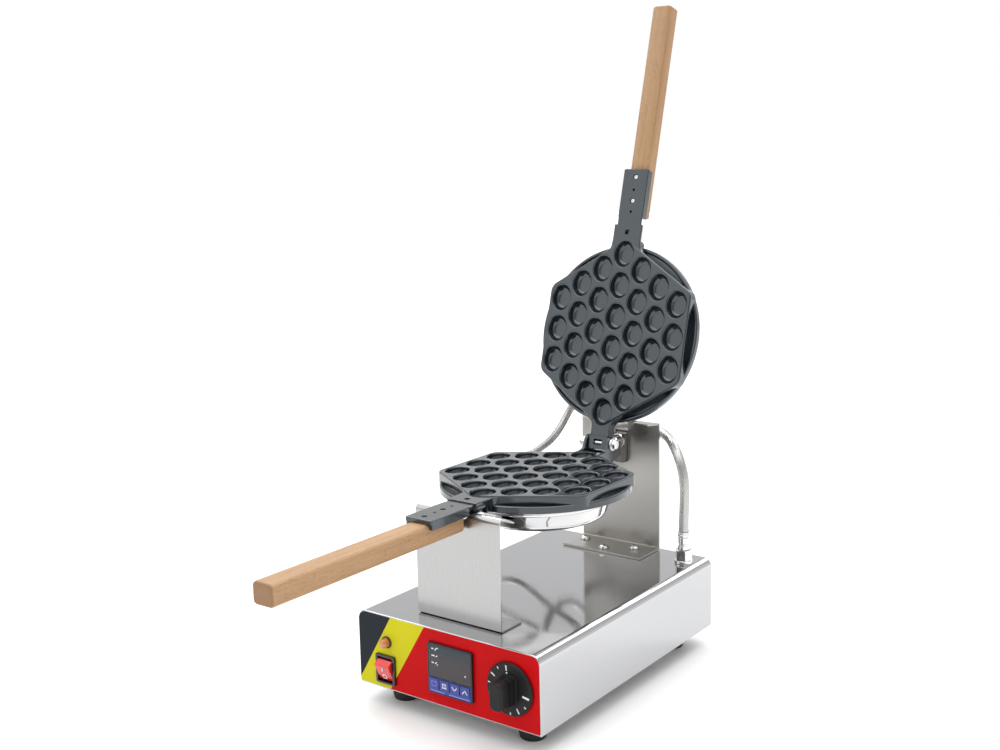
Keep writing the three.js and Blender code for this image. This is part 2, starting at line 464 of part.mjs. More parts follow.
// pan, heating element, handle and their screws, alike on both moulds
function addMouldParts(group, side) {
  const f0 = CAST_BACK + GAP, t = 1;
  const b = PAN_DEPTH;
  const profile = [[91, f0], [91, f0 + t], [77, f0 + t], [72.6, b - 12], [70.2, b - 4.4], [62, b], [3.2, b],
    [3.2, b - t], [61.6, b - t], [69.2, b - 5], [71.6, b - 12], [76, f0]];
  const sgn = side === 'lower' ? 1 : -1;
  // conduit glands enter through the pan wall on the hinge side: angle from the hinge direction, mould frame
  const ports = side === 'lower' ? [['lower_feed_gland', -32.3, 5.6], ['lower_jumper_gland', -9.7, 5.0]] : [['upper_jumper_gland', 35, 5.0]];
  const GW = 30.6;
  let pan = solid(turned([...profile, profile[0]], 30));
  for (const [, deg, r] of ports) {
    const g = rod('y', r, -84, -62, 0, GW, 12);
    g.rotateZ(THREE.MathUtils.degToRad(deg));
    pan = cut(pan, g);
  }
  // vent slot in the pan wall
  const vent = block(-6, 6, 60, 80, GW - 5.5, GW - 2.5);
  vent.rotateZ(THREE.MathUtils.degToRad(-14));
  pan = cut(pan, vent);
  group.add(mesh(`${side}_pan`, pan, POLISHED));
  for (const [name, deg, r] of ports) {
    const R = r - 0.3;
    const g = turned([[0, -3], [R, -3], [R, 3.4], [R + 2.6, 3.4], [R + 2.6, 8.6], [R + 1, 9.8], [R + 0.2, 15.6], [0, 15.6]], 12);
    g.rotateX(Math.PI / 2);              // along -y of the mould frame
    g.translate(0, -72.4, GW);
    g.rotateZ(THREE.MathUtils.degToRad(deg));
    group.add(mesh(name, g, POLISHED));
  }
  const centreScrew = turned([[0, 22], [2.6, 22], [2.6, b + GAP], [6.4, b + GAP], [6.0, b + 2.2], [3.6, b + 3.4], [0, b + 3.6]], 12);
  group.add(mesh(`${side}_pan_screw`, centreScrew, POLISHED));
  // tubular heating element under the casting
  const ring = [];
  for (let i = 0; i <= 6; i++) { const a = (2 * Math.PI * i) / 6; ring.push([52 + 4 * Math.cos(a), CAST_BACK + GAP + 4.2 + 4 * Math.sin(a)]); }
  group.add(mesh(`${side}_heating_element`, turned(ring, 24), OXIDE));
  // wooden handle
  const h = HANDLE_HALF, [wa, wb] = HANDLE_W, c = HANDLE_CHAMFER;
  const section = outline([[-h + c, -wb], [h - c, -wb], [h, -wb + c], [h, -wa - c], [h - c, -wa], [-h + c, -wa], [-h, -wa - c], [-h, -wb + c]]);
  const bar = raised(section, HANDLE_V[0], HANDLE_V[1], 1.6);
  bar.rotateX(-Math.PI / 2);
  const screws = [169.7, 143.7];
  group.add(mesh(`${side}_handle`, cut(bar, ...screws.map((v) => rod('z', 2.1, 0, 20, 0, v, 10))), BEECH));
  screws.forEach((v, i) => {
    const s = mesh(`${side}_handle_screw_${i + 1}`, turned([[0, 4.2], [2.4, 4.2], [2.4, 6.0], [1.8, 6.6], [1.8, 19.4], [0, 19.4]], 10), POLISHED);
    s.position.set(0, v, 0);
    group.add(s);
  });
}

// ---------------------------------------------------------------- conduits
// feed: from the fitting on the base, behind the upright, round its left side to the lower pan
const FEED = [[88, 289, 107.4], [88, 289, 119.4], [88.5, 288.9, 131.4], [89, 288.7, 143.4], [88.8, 288.7, 155.4], [87, 289.4, 167.3], [82.9, 291.3, 178.3], [76.5, 295.4, 187.5], [68.7, 301.7, 193.8], [60.2, 309.4, 197.6],
  [50.7, 316.4, 199.8], [40.2, 321.9, 201.3], [28.9, 325.8, 202.4], [17.2, 328.6, 203.1], [5.4, 330.4, 202.9], [-6.5, 331.5, 201.5], [-18, 331.8, 198.3], [-28.9, 331.3, 193.2], [-38.8, 329.8, 186.6], [-47.3, 327, 178.7],
  [-54.3, 322.7, 169.9], [-59.5, 316.2, 161.3], [-62.2, 307.2, 154], [-62.7, 296.4, 148.9], [-62, 284.8, 146], [-60.8, 272.8, 145.3], [-59.7, 261.2, 147.5], [-58.7, 250.1, 152.2], [-56.5, 239.5, 157.5], [-51.6, 229.1, 160],
  [-47.35, 222.3, 160]];
base.add(mesh('feed_conduit', tube(FEED, HOSE_R, 8, 34), BRAID));
// jumper: from the lower pan in a loop on the left, past the hinge line, to the upper pan
const JUMPER = [[-14.95, 234.6, 160], [-17.3, 246, 159.8], [-23.3, 252.9, 157.6], [-33.3, 254.2, 152.9], [-45.2, 251.9, 146.4], [-56.8, 248.5, 139], [-66.8, 245.1, 131.3], [-75.5, 241.5, 123.3], [-84.5, 237.4, 116.3], [-94.6, 233, 111.9],
  [-105.1, 229.3, 112.1], [-114.5, 227.6, 117.5], [-121, 228.6, 126.8], [-123.6, 232, 137.5], [-121.9, 237.1, 147.4], [-116.7, 243, 155.4], [-109, 249.3, 161.8], [-99.7, 255.4, 167.4], [-89.6, 261.2, 172.8], [-79.9, 266.4, 178.9],
  [-71.3, 271.1, 186.3], [-64.8, 276.2, 194.8], [-61.1, 282.9, 204.1], [-59.5, 290.9, 213.6], [-56.9, 297.7, 223], [-50.95, 301.7, 232.5]];
base.add(mesh('jumper_conduit', tube(JUMPER, JUMPER_R, 8, 34), BRAID));

export default machine;
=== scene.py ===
import math

import bpy
import numpy as np
from mathutils import Matrix, Vector


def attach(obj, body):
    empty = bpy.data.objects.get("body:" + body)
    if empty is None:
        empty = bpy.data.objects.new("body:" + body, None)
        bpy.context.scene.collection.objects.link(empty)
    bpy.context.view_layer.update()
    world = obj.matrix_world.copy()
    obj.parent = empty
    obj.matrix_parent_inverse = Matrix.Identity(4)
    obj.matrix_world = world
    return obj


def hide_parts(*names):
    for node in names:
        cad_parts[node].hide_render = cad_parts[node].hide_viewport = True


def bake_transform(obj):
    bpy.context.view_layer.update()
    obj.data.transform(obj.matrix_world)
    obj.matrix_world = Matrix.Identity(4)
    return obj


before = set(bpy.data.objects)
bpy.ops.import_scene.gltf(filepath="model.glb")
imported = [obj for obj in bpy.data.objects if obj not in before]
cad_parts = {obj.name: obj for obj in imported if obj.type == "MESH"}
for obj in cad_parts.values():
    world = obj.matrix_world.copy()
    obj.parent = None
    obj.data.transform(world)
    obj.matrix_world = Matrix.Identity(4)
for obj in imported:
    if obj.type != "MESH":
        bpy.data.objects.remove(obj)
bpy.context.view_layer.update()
MM = 0.001


# ------------------------------------------------------------------ frames of the object, in millimetres
def shift(x, y, z):
    return Matrix.Translation((x, y, z))


def turn(degrees, axis):
    return Matrix.Rotation(math.radians(degrees), 4, axis)


BASE = shift(0, -100.64, 19.5)  # x centred, y from the front face, z from the bottom edge of the base
LOWER = BASE @ shift(0, 147.4, 190.6) @ turn(180, "X")  # x across, y along the handle, z from the parting plane to the back
LID = BASE @ shift(0, 265.2, 196.0) @ turn(-105.7, "X")
UPPER = LID @ shift(0, -117.8, -5.4) @ turn(180, "Z")

BASE_W, BASE_D, BASE_H, SHEET = 213.0, 316.5, 73.4, 1.2
FOOT_H, FOOT_X, FOOT_Y = 19.5, 75.5, (31, 285)
PART_Z, MOULD_Y, HINGE_R, HINGE_UP = 190.6, 147.4, 117.8, 5.4
PITCH = 34.1
COL = 0.7 * PITCH
CUP_A, CUP_B, CUP_DEPTH, FACE_W = 11.25, 13.8, 8.5, 0.6
PLATE_BACK, RIM_R, CAST_BACK = 8.9, 95.4, 15.6
NECK_W, NECK_TOP, NECK_END, NECK_STEP = 15.2, 3.1, 178.5, 117.3
JOURNAL_R, NECK_FACE = 17.5, 1.8
CTRL, ROCKER, LAMP, TIMER = (7.8, 36.9), (-71.9, 20.4), (-70.4, 47.6), (75.1, 37.4)
FITTING = (88.0, 289.0)

# ------------------------------------------------------------------ camera
cam_data = bpy.data.cameras.new("view")
cam_data.lens, cam_data.sensor_width, cam_data.sensor_fit = 45.18, 36.0, "HORIZONTAL"
cam_data.shift_x, cam_data.shift_y = -0.01695, -0.02086
cam_data.clip_start, cam_data.clip_end = 0.05, 50
camera = bpy.data.objects.new("view", cam_data)
bpy.context.scene.collection.objects.link(camera)
yaw, pitch, roll = (math.radians(a) for a in (36.34, 9.25, -1.08))
ahead = Vector((-math.sin(yaw) * math.cos(pitch), math.cos(yaw) * math.cos(pitch), -math.sin(pitch)))
right = Vector((math.cos(yaw), math.sin(yaw), 0))
up = right.cross(ahead)
r2 = right * math.cos(roll) + up * math.sin(roll)
u2 = -right * math.sin(roll) + up * math.cos(roll)
camera.matrix_world = Matrix(
    ((r2.x, u2.x, -ahead.x, 0.7005), (r2.y, u2.y, -ahead.y, -0.9330), (r2.z, u2.z, -ahead.z, 0.5239), (0, 0, 0, 1))
)
bpy.context.scene.camera = camera


# ------------------------------------------------------------------ solids as (points, faces)
def oriented(v, f):
    v = np.asarray(v, float)
    total = 0.0
    for face in f:
        a = v[face[0]]
        for k in range(1, len(face) - 1):
            total += float(np.dot(a, np.cross(v[face[k]], v[face[k + 1]])))
    if total < 0:
        f = [face[::-1] for face in f]
    return v, f


def together(*solids):
    points, faces, n = [], [], 0
    for v, f in solids:
        points.append(v)
        faces += [[i + n for i in face] for face in f]
        n += len(v)
    return np.vstack(points), faces


def put(solid, matrix):
    v, f = solid
    m = np.array(matrix)
    w = v @ m[:3, :3].T + m[:3, 3]
    if np.linalg.det(m[:3, :3]) < 0:
        f = [face[::-1] for face in f]
    return w, f


def rounded(points, radius=0.0, steps=6, closed=True):
    """Polyline with rounded corners; a point is (x, y) or (x, y, radius)."""
    out, n = [], len(points)
    for i, p in enumerate(points):
        r = p[2] if len(p) > 2 else radius
        c = np.array(p[:2], float)
        if r <= 1e-6 or (not closed and i in (0, n - 1)):
            out.append(c)
            continue
        a = np.array(points[i - 1][:2], float) - c
        b = np.array(points[(i + 1) % n][:2], float) - c
        a /= np.linalg.norm(a)
        b /= np.linalg.norm(b)
        half = math.acos(float(np.clip(a @ b, -1, 1))) / 2
        if half > 1.5:
            out.append(c)
            continue
        t = r / math.tan(half)
        m = a + b
        centre = c + m / np.linalg.norm(m) * (r / math.sin(half))
        p0, p1 = c + a * t, c + b * t
        a0 = math.atan2(*(p0 - centre)[::-1])
        d = math.atan2(*(p1 - centre)[::-1]) - a0
        d = (d + math.pi) % (2 * math.pi) - math.pi
        for k in range(steps + 1):
            w = a0 + d * k / steps
            out.append(centre + r * np.array([math.cos(w), math.sin(w)]))
    return np.array(out)


def rect(x0, x1, y0, y1, r=0.0, steps=6):
    return rounded([(x0, y0), (x1, y0), (x1, y1), (x0, y1)], r, steps)


def circle(r, n=32, x=0.0, y=0.0):
    a = np.arange(n) * 2 * math.pi / n
    return np.stack([x + r * np.cos(a), y + r * np.sin(a)], 1)


def hexagon(flats, turned_by=0.0):
    r = flats / math.sqrt(3)
    return np.array([[r * math.cos(math.radians(60 * i + turned_by)), r * math.sin(math.radians(60 * i + turned_by))] for i in range(6)])


def inset(points, d):
    p = np.asarray(points, float)
    back, front = p - np.roll(p, 1, 0), np.roll(p, -1, 0) - p
    area = float(np.sum(p[:, 0] * np.roll(p[:, 1], -1) - np.roll(p[:, 0], -1) * p[:, 1]))
    s = 1 if area > 0 else -1

    def inward(e):
        e = e / np.maximum(np.linalg.norm(e, axis=1, keepdims=True), 1e-9)
        return np.stack([-e[:, 1], e[:, 0]], 1) * s

    n1, n2 = inward(back), inward(front)
    k = 1 + np.sum(n1 * n2, 1, keepdims=True)
    return p + d * (n1 + n2) / np.maximum(k, 0.25)


def loft(rings, wrap=False):
    """Closed body through equal rings; the two ends are capped unless the rings wrap round."""
    n, m = len(rings[0]), len(rings)
    v = np.vstack(rings)
    f = []
    for i in range(m if wrap else m - 1):
        j = (i + 1) % m
        for k in range(n):
            q = (k + 1) % n
            f.append([i * n + k, i * n + q, j * n + q, j * n + k])
    if not wrap:
        f.append(list(range(n))[::-1])
        f.append(list(range((m - 1) * n, m * n)))
    return oriented(v, f)


def prism(points, z0, z1, low=0.0, high=0.0, steps=4):
    """Outline raised from z0 to z1, with its two edges rounded."""
    rings = []

    def ring(d, z):
        q = inset(points, d) if d else np.asarray(points, float)
        rings.append(np.column_stack([q, np.full(len(q), z)]))

    if low > 0:
        for k in range(steps + 1):
            a = k / steps * math.pi / 2
            ring(low * (1 - math.sin(a)), z0 + low * (1 - math.cos(a)))
    else:
        ring(0, z0)
    if high > 0:
        for k in range(steps + 1):
            a = k / steps * math.pi / 2
            ring(high * (1 - math.cos(a)), z1 - high * (1 - math.sin(a)))
    else:
        ring(0, z1)
    return loft(rings)


def along_y(points, y0, y1, low=0.0, high=0.0, steps=4):
    """Outline in XZ pushed from y0 to y1."""
    v, f = prism(points, y0, y1, low, high, steps)
    return oriented(v[:, [0, 2, 1]], f)


def along_x(points, x0, x1, low=0.0, high=0.0, steps=4):
    """Outline in YZ pushed from x0 to x1."""
    v, f = prism(points, x0, x1, low, high, steps)
    return oriented(v[:, [2, 0, 1]], f)


def brick(x0, x1, y0, y1, z0, z1, r=0.0, edge=0.0):
    return prism(rect(x0, x1, y0, y1, r or max(edge, 0), 4), z0, z1, edge, edge, 3)


def lathe(profile, n=48, wrap=False, sx=1.0, sy=1.0):
    """Profile of (radius, height) turned about Z; it runs from axis to axis, or closes on itself when wrap is set."""
    a = np.arange(n) * 2 * math.pi / n
    ca, sa = np.cos(a) * sx, np.sin(a) * sy
    v, rows = [], []
    for r, z in profile:
        if r < 1e-6 and not wrap:
            rows.append([len(v)])
            v.append([0, 0, z])
        else:
            rows.append(list(range(len(v), len(v) + n)))
            v += [[r * ca[k], r * sa[k], z] for k in range(n)]
    f, m = [], len(rows)
    for i in range(m if wrap else m - 1):
        p, q = rows[i], rows[(i + 1) % m]
        if len(p) == 1 and len(q) == 1:
            continue
        for k in range(n):
            h = (k + 1) % n
            if len(p) == 1:
                f.append([p[0], q[h], q[k]])
            elif len(q) == 1:
                f.append([p[k], p[h], q[0]])
            else:
                f.append([p[k], p[h], q[h], q[k]])
    return oriented(v, f)


def soft_profile(points, radius=0.0, steps=4):
    return [tuple(p) for p in rounded(points, radius, steps, closed=False)]


def cylinder(axis, r, a, b, u=0.0, v=0.0, n=32, edge=0.0):
    """Cylinder from a to b along an axis, through (u, v) of the other two."""
    e = edge
    prof = [(0, a), (r, a), (r, b), (0, b)] if not e else soft_profile([(0, a), (r, a, e), (r, b, e), (0, b)], 0, 3)
    s, f = lathe(prof, n)
    if axis == "z":
        return oriented(s + np.array([u, v, 0]), f)
    if axis == "y":
        return oriented(s[:, [0, 2, 1]] + np.array([u, 0, v]), f)
    return oriented(s[:, [2, 0, 1]] + np.array([0, u, v]), f)


def facing(axis, solid, at=(0, 0, 0)):
    """Turns a solid made along Z so that it points along an axis, and moves it."""
    m = {"z": Matrix.Identity(4), "-z": turn(180, "X"), "y": turn(-90, "X"), "-y": turn(90, "X"), "x": turn(90, "Y"), "-x": turn(-90, "Y")}[axis]
    return put(solid, shift(*at) @ m)


# ------------------------------------------------------------------ joining and cutting
def _object(solid, name="tool"):
    me = bpy.data.meshes.new(name)
    me.from_pydata([tuple(p) for p in solid[0].tolist()], [], solid[1])
    me.update()
    o = bpy.data.objects.new(name, me)
    bpy.context.scene.collection.objects.link(o)
    return o


def _combine(a, b, how):
    oa, ob = _object(a), _object(b)
    result = None
    for solver in ("MANIFOLD", "EXACT"):
        oa.modifiers.clear()
        m = oa.modifiers.new("c", "BOOLEAN")
        m.object, m.operation, m.solver = ob, how, solver
        bpy.context.view_layer.update()
        dg = bpy.context.evaluated_depsgraph_get()
        me = bpy.data.meshes.new_from_object(oa.evaluated_get(dg))
        if len(me.polygons):
            co = np.zeros(len(me.vertices) * 3)
            me.vertices.foreach_get("co", co)
            result = (co.reshape(-1, 3), [list(p.vertices) for p in me.polygons])
            same = len(result[0]) == len(a[0]) and len(result[1]) == len(a[1]) and np.allclose(result[0], a[0], atol=1e-5)
            bpy.data.meshes.remove(me)
            if not (same and solver == "MANIFOLD"):
                break
        else:
            bpy.data.meshes.remove(me)
    for o in (oa, ob):
        me = o.data
        bpy.data.objects.remove(o)
        bpy.data.meshes.remove(me)
    return result


def joined(*solids):
    out = solids[0]
    for s in solids[1:]:
        out = _combine(out, s, "UNION")
    return out


def cut(body, *tools):
    for t in tools:
        body = _combine(body, t, "DIFFERENCE")
    return body


def common(a, b):
    return _combine(a, b, "INTERSECT")


# ------------------------------------------------------------------ pieces
def piece(name, solid, body, material, place=BASE, stands=(), sharp=32.0, weigh=True, own=None, smooth=True):
    """Makes a piece. solid is in millimetres in the frame that place describes."""
    v, f = solid
    m = np.array(place)
    world = (v @ m[:3, :3].T + m[:3, 3]) * MM
    me = bpy.data.meshes.new(name)
    me.from_pydata([tuple(p) for p in world.tolist()], [], f)
    me.update()
    a = me.attributes.new("own", "FLOAT_VECTOR", "POINT")
    a.data.foreach_set("vector", ((v if own is None else own) * MM).astype(np.float32).ravel())
    import bmesh

    bm = bmesh.new()
    bm.from_mesh(me)
    bmesh.ops.remove_doubles(bm, verts=bm.verts, dist=2e-7)
    bmesh.ops.dissolve_degenerate(bm, edges=bm.edges, dist=1e-7)
    bm.to_mesh(me)
    bm.free()
    me.materials.append(material)
    if smooth:
        me.shade_smooth()
        me.set_sharp_from_angle(angle=math.radians(sharp))
    o = bpy.data.objects.new(name, me)
    bpy.context.scene.collection.objects.link(o)
    if weigh and smooth:
        w = o.modifiers.new("normals", "WEIGHTED_NORMAL")
        w.keep_sharp, w.weight = True, 60
    if body is not None:
        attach(o, body)
    if stands:
        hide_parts(*([stands] if isinstance(stands, str) else stands))
    return o


# ------------------------------------------------------------------ materials
class Paint:
    """A node material, built from noise in the piece's own coordinates."""

    def __init__(self, name, coords="own"):
        self.m = bpy.data.materials.new(name)
        self.m.use_nodes = True
        self.t = self.m.node_tree
        self.t.nodes.clear()
        if coords == "own":
            self.at = self.node("ShaderNodeAttribute", attribute_name="own").outputs["Vector"]
        else:
            self.at = self.node("ShaderNodeTexCoord").outputs["Object"]

    def node(self, kind, inputs=None, **props):
        n = self.t.nodes.new(kind)
        for k, v in props.items():
            setattr(n, k, v)
        for k, v in (inputs or {}).items():
            s = n.inputs[k]
            if isinstance(v, bpy.types.NodeSocket):
                self.t.links.new(v, s)
            else:
                s.default_value = v
        return n

    def scaled(self, sx, sy=None, sz=None, at=None):
        """Coordinates in cycles per millimetre along each axis."""
        sy = sx if sy is None else sy
        sz = sx if sz is None else sz
        return self.node("ShaderNodeVectorMath", {0: at or self.at, 1: (sx * 1000, sy * 1000, sz * 1000)}, operation="MULTIPLY").outputs[0]

    def noise(self, sx, sy=None, sz=None, detail=3.0, rough=0.5, twist=0.0, at=None):
        n = self.node("ShaderNodeTexNoise", {"Vector": self.scaled(sx, sy, sz, at), "Scale": 1.0, "Detail": detail, "Roughness": rough, "Distortion": twist})
        return n.outputs[0]

    def cells(self, sx, sy=None, sz=None, feature="F1"):
        n = self.node("ShaderNodeTexVoronoi", feature=feature)
        self.t.links.new(self.scaled(sx, sy, sz), n.inputs["Vector"])
        n.inputs["Scale"].default_value = 1.0
        return n.outputs["Distance"]

    def span(self, x, a, b, c=0.0, d=1.0, smooth=False):
        n = self.node("ShaderNodeMapRange", {0: x, 1: a, 2: b, 3: c, 4: d}, interpolation_type="SMOOTHSTEP" if smooth else "LINEAR")
        return n.outputs[0]

    def math(self, op, a, b=0.0, c=0.0):
        return self.node("ShaderNodeMath", {0: a, 1: b, 2: c}, operation=op).outputs[0]

    def mix(self, f, a, b):
        n = self.node("ShaderNodeMix", data_type="RGBA")
        for i, v in ((0, f), (6, a), (7, b)):
            if isinstance(v, bpy.types.NodeSocket):
                self.t.links.new(v, n.inputs[i])
            else:
                n.inputs[i].default_value = v if i == 0 else (*v, 1.0) if len(v) == 3 else v
        return n.outputs[2]

    def bump(self, height, depth_mm, strength=1.0, normal=None):
        ins = {"Height": height, "Distance": depth_mm * MM, "Strength": strength}
        if normal is not None:
            ins["Normal"] = normal
        return self.node("ShaderNodeBump", ins).outputs[0]

    def xyz(self):
        return self.node("ShaderNodeSeparateXYZ", {0: self.at}).outputs

    def done(self, **inputs):
        fixed = {}
        for k, v in inputs.items():
            k = k.replace("_", " ")
            if k == "Base Color" and not isinstance(v, bpy.types.NodeSocket):
                v = (*v, 1.0)
            fixed[{"Specular": "Specular IOR Level", "Transmission": "Transmission Weight", "Coat": "Coat Weight", "Subsurface": "Subsurface Weight", "Sheen": "Sheen Weight"}.get(k, k)] = v
        b = self.node("ShaderNodeBsdfPrincipled", fixed)
        out = self.node("ShaderNodeOutputMaterial")
        self.t.links.new(b.outputs[0], out.inputs[0])
        return self.m


def lin(r, g, b):
    """Linear colour from 0 to 255 display values."""
    return tuple(((c / 255) / 12.92 if c / 255 <= 0.04045 else ((c / 255 + 0.055) / 1.055) ** 2.4) for c in (r, g, b))


def steel(name, tint, rough, grain=(0.03, 5, 5), spread=0.04, bump=0.0012, smear=0.03, coords="own", vary=0.03):
    """Stainless sheet: fine grain along one direction, with a soft uneven sheen."""
    p = Paint(name, coords)
    g = p.noise(*grain, detail=4, rough=0.6)
    h = p.noise(0.011, detail=2)
    r = p.math("ADD", p.span(g, 0.3, 0.7, rough - spread, rough + spread), p.span(h, 0.3, 0.7, -smear, smear))
    c = p.mix(p.span(g, 0.25, 0.75), tuple(x * (1 - vary) for x in tint), tuple(min(1, x * (1 + vary)) for x in tint))
    return p.done(Base_Color=c, Metallic=1.0, Roughness=p.math("MAXIMUM", r, 0.02), Normal=p.bump(g, bump))


def bright(name, tint, rough, coords="own"):
    """Plated or polished fasteners with fine handling scratches."""
    p = Paint(name, coords)
    g = p.noise(1.6, 0.25, 0.25, detail=5, rough=0.7)
    s = p.noise(0.12, detail=3)
    r = p.math("ADD", p.span(g, 0.3, 0.75, rough * 0.7, rough * 1.5), p.span(s, 0.4, 0.7, 0, 0.08))
    c = p.mix(p.span(s, 0.3, 0.7), tuple(x * 0.9 for x in tint), tint)
    return p.done(Base_Color=c, Metallic=1.0, Roughness=r, Normal=p.bump(g, 0.004))


def plastic(name, colour, rough, texture=3.0, depth=0.006, coat=0.0, vary=0.12, coords="own", **more):
    """Moulded plastic with a fine eroded texture and faint handling marks."""
    p = Paint(name, coords)
    g = p.noise(texture, detail=3, rough=0.6)
    s = p.noise(0.06, detail=3)
    c = p.mix(p.span(s, 0.3, 0.7), tuple(x * (1 - vary) for x in colour), tuple(min(1, x * (1 + vary)) for x in colour))
    r = p.math("ADD", p.span(g, 0.3, 0.7, rough - 0.05, rough + 0.05), p.span(s, 0.35, 0.7, -0.03, 0.04))
    return p.done(Base_Color=c, Roughness=r, Normal=p.bump(g, depth), Coat=coat, **more)


def mirror(name, tint, rough, wave=0.02):
    """Bright sheet that mirrors what stands on it, slightly uneven."""
    p = Paint(name)
    broad = p.noise(0.016, detail=1)
    fine = p.noise(4.0, 0.05, 4.0, detail=4, rough=0.6)
    r = p.math("ADD", p.span(p.noise(0.03, detail=3), 0.3, 0.7, rough * 0.6, rough * 1.4), p.span(fine, 0.4, 0.8, 0, 0.035))
    c = p.mix(p.span(fine, 0.2, 0.8), tuple(x * 0.96 for x in tint), tint)
    n = p.bump(broad, wave)
    return p.done(Base_Color=c, Metallic=1.0, Roughness=r, Normal=p.bump(fine, 0.0012, normal=n))


def nonstick(name, coords="own"):
    """Coated cast aluminium: a dark slate film over a faintly pitted casting."""
    p = Paint(name, coords)
    grit = p.noise(2.4, detail=5, rough=0.65)
    cast = p.noise(0.32, detail=3)
    wear = p.noise(0.035, detail=4, rough=0.6)
    c = p.mix(p.span(wear, 0.3, 0.7), lin(18, 23, 28), lin(27, 33, 39))
    c = p.mix(p.span(grit, 0.64, 0.8, 0, 0.6), c, lin(66, 73, 81))
    r = p.math("ADD", p.span(wear, 0.3, 0.7, 0.15, 0.21), p.span(grit, 0.3, 0.7, -0.03, 0.05))
    n = p.bump(cast, 0.045, 0.5)
    return p.done(Base_Color=c, Metallic=0.0, Roughness=r, IOR=1.68, Specular=0.5, Coat=0.45, Normal=p.bump(grit, 0.014, 0.8, n), **{"Coat Roughness": 0.09, "Specular Tint": (0.84, 0.94, 1.0, 1.0)})


def wood(name, tone=(1.0, 1.0, 1.0), end=0.3608):
    """Beech: long soft figure along the grain and short brown flecks."""
    p = Paint(name)
    warp = p.noise(0.045, 0.004, 0.045, detail=2)
    rings = p.noise(0.16, 0.0035, 0.16, detail=3, rough=0.55, twist=0.5)
    fibre = p.noise(2.6, 0.045, 2.6, detail=4, rough=0.65)
    fleck = p.noise(1.5, 0.16, 1.5, detail=2, rough=0.4)

    def shade(*rgb):
        return tuple(c * t for c, t in zip(lin(*rgb), tone))

    c = p.mix(p.span(rings, 0.35, 0.68, smooth=True), shade(176, 139, 98), shade(156, 116, 76))
    c = p.mix(p.span(warp, 0.35, 0.7, 0, 0.45), c, shade(197, 166, 131))
    c = p.mix(p.span(fibre, 0.35, 0.7, 0, 0.6), c, shade(142, 102, 67))
    c = p.mix(p.span(fleck, 0.62, 0.70, 0, 0.6), c, shade(122, 84, 54))
    pores = p.noise(1.8, 0.0, 1.8, detail=4, rough=0.7)
    cut_end = p.span(p.xyz()[1], end - 0.0022, end - 0.0004, 0.0, 1.0, smooth=True)
    c = p.mix(p.math("MULTIPLY", cut_end, p.span(pores, 0.35, 0.65, 0.45, 0.85)), c, shade(128, 92, 64))
    r = p.span(fibre, 0.3, 0.7, 0.42, 0.56)
    return p.done(Base_Color=c, Roughness=r, Specular=0.35, Normal=p.bump(fibre, 0.03, 0.6))


def rubber(name, coords="own"):
    p = Paint(name, coords)
    g = p.noise(1.5, detail=5, rough=0.7)
    s = p.noise(0.1, detail=3)
    c = p.mix(p.span(s, 0.3, 0.7), lin(22, 23, 25), lin(36, 37, 40))
    return p.done(Base_Color=c, Roughness=p.span(g, 0.3, 0.7, 0.6, 0.8), Normal=p.bump(g, 0.03, 0.6))


def film(name, colour):
    """Printed polycarbonate film with a faint orange peel."""
    p = Paint(name)
    peel = p.noise(0.9, detail=2)
    fine = p.noise(6.0, detail=2)
    s = p.noise(0.02, detail=3)
    c = p.mix(p.span(s, 0.3, 0.7), tuple(x * 0.94 for x in colour), tuple(min(1, x * 1.05) for x in colour))
    return p.done(Base_Color=c, Roughness=p.span(s, 0.3, 0.7, 0.3, 0.38), Specular=0.07, Normal=p.bump(fine, 0.003, 0.6, p.bump(peel, 0.012, 0.6)))


def ink(name, colour, rough=0.5):
    p = Paint(name)
    g = p.noise(5.0, detail=3)
    c = p.mix(p.span(g, 0.3, 0.75), tuple(x * 0.88 for x in colour), colour)
    return p.done(Base_Color=c, Roughness=p.span(g, 0.3, 0.7, rough - 0.06, rough + 0.06), Normal=p.bump(g, 0.004))


def braid(name, strands, pitch_mm, tint):
    """Wire overbraid: bundles of fine wires crossing over and under along the hose, with painted shade darkening the
    colour down into the low valleys between them.
    """
    p = Paint(name)
    uv = p.node("ShaderNodeUVMap", uv_map="wrap").outputs[0]
    u, v, _ = p.node("ShaderNodeSeparateXYZ", {0: uv}).outputs
    a = p.math("ADD", p.math("MULTIPLY", u, strands), p.math("MULTIPLY", v, 1000 / pitch_mm))
    b = p.math("SUBTRACT", p.math("MULTIPLY", u, strands), p.math("MULTIPLY", v, 1000 / pitch_mm))

    def wave(x, k):
        return p.math("SINE", p.math("MULTIPLY", x, 2 * math.pi * k))

    over = p.span(p.math("MULTIPLY", wave(a, 0.5), wave(b, 0.5)), -0.12, 0.12)
    wires_a = p.math("ABSOLUTE", wave(a, 2.0))
    wires_b = p.math("ABSOLUTE", wave(b, 2.0))
    wires = p.math("ADD", p.math("MULTIPLY", wires_a, over), p.math("MULTIPLY", wires_b, p.math("SUBTRACT", 1.0, over)))
    bundle = p.math("ADD", p.math("MULTIPLY", p.math("ABSOLUTE", wave(a, 0.5)), over), p.math("MULTIPLY", p.math("ABSOLUTE", wave(b, 0.5)), p.math("SUBTRACT", 1.0, over)))
    height = p.math("ADD", p.math("MULTIPLY", bundle, 0.7), p.math("MULTIPLY", wires, 0.3))
    s = p.noise(0.05, detail=3)
    # painted shade: the colour drops to about a fifth of the tint down in the low valleys between wires and bundles
    c = p.mix(p.span(height, 0.15, 0.85), tuple(x * 0.22 for x in tint), tint)
    c = p.mix(p.span(s, 0.35, 0.7, 0, 0.4), c, tuple(x * 0.85 for x in tint))
    return p.done(Base_Color=c, Metallic=1.0, Roughness=p.span(s, 0.3, 0.7, 0.22, 0.32), Normal=p.bump(height, 0.2, 0.8))


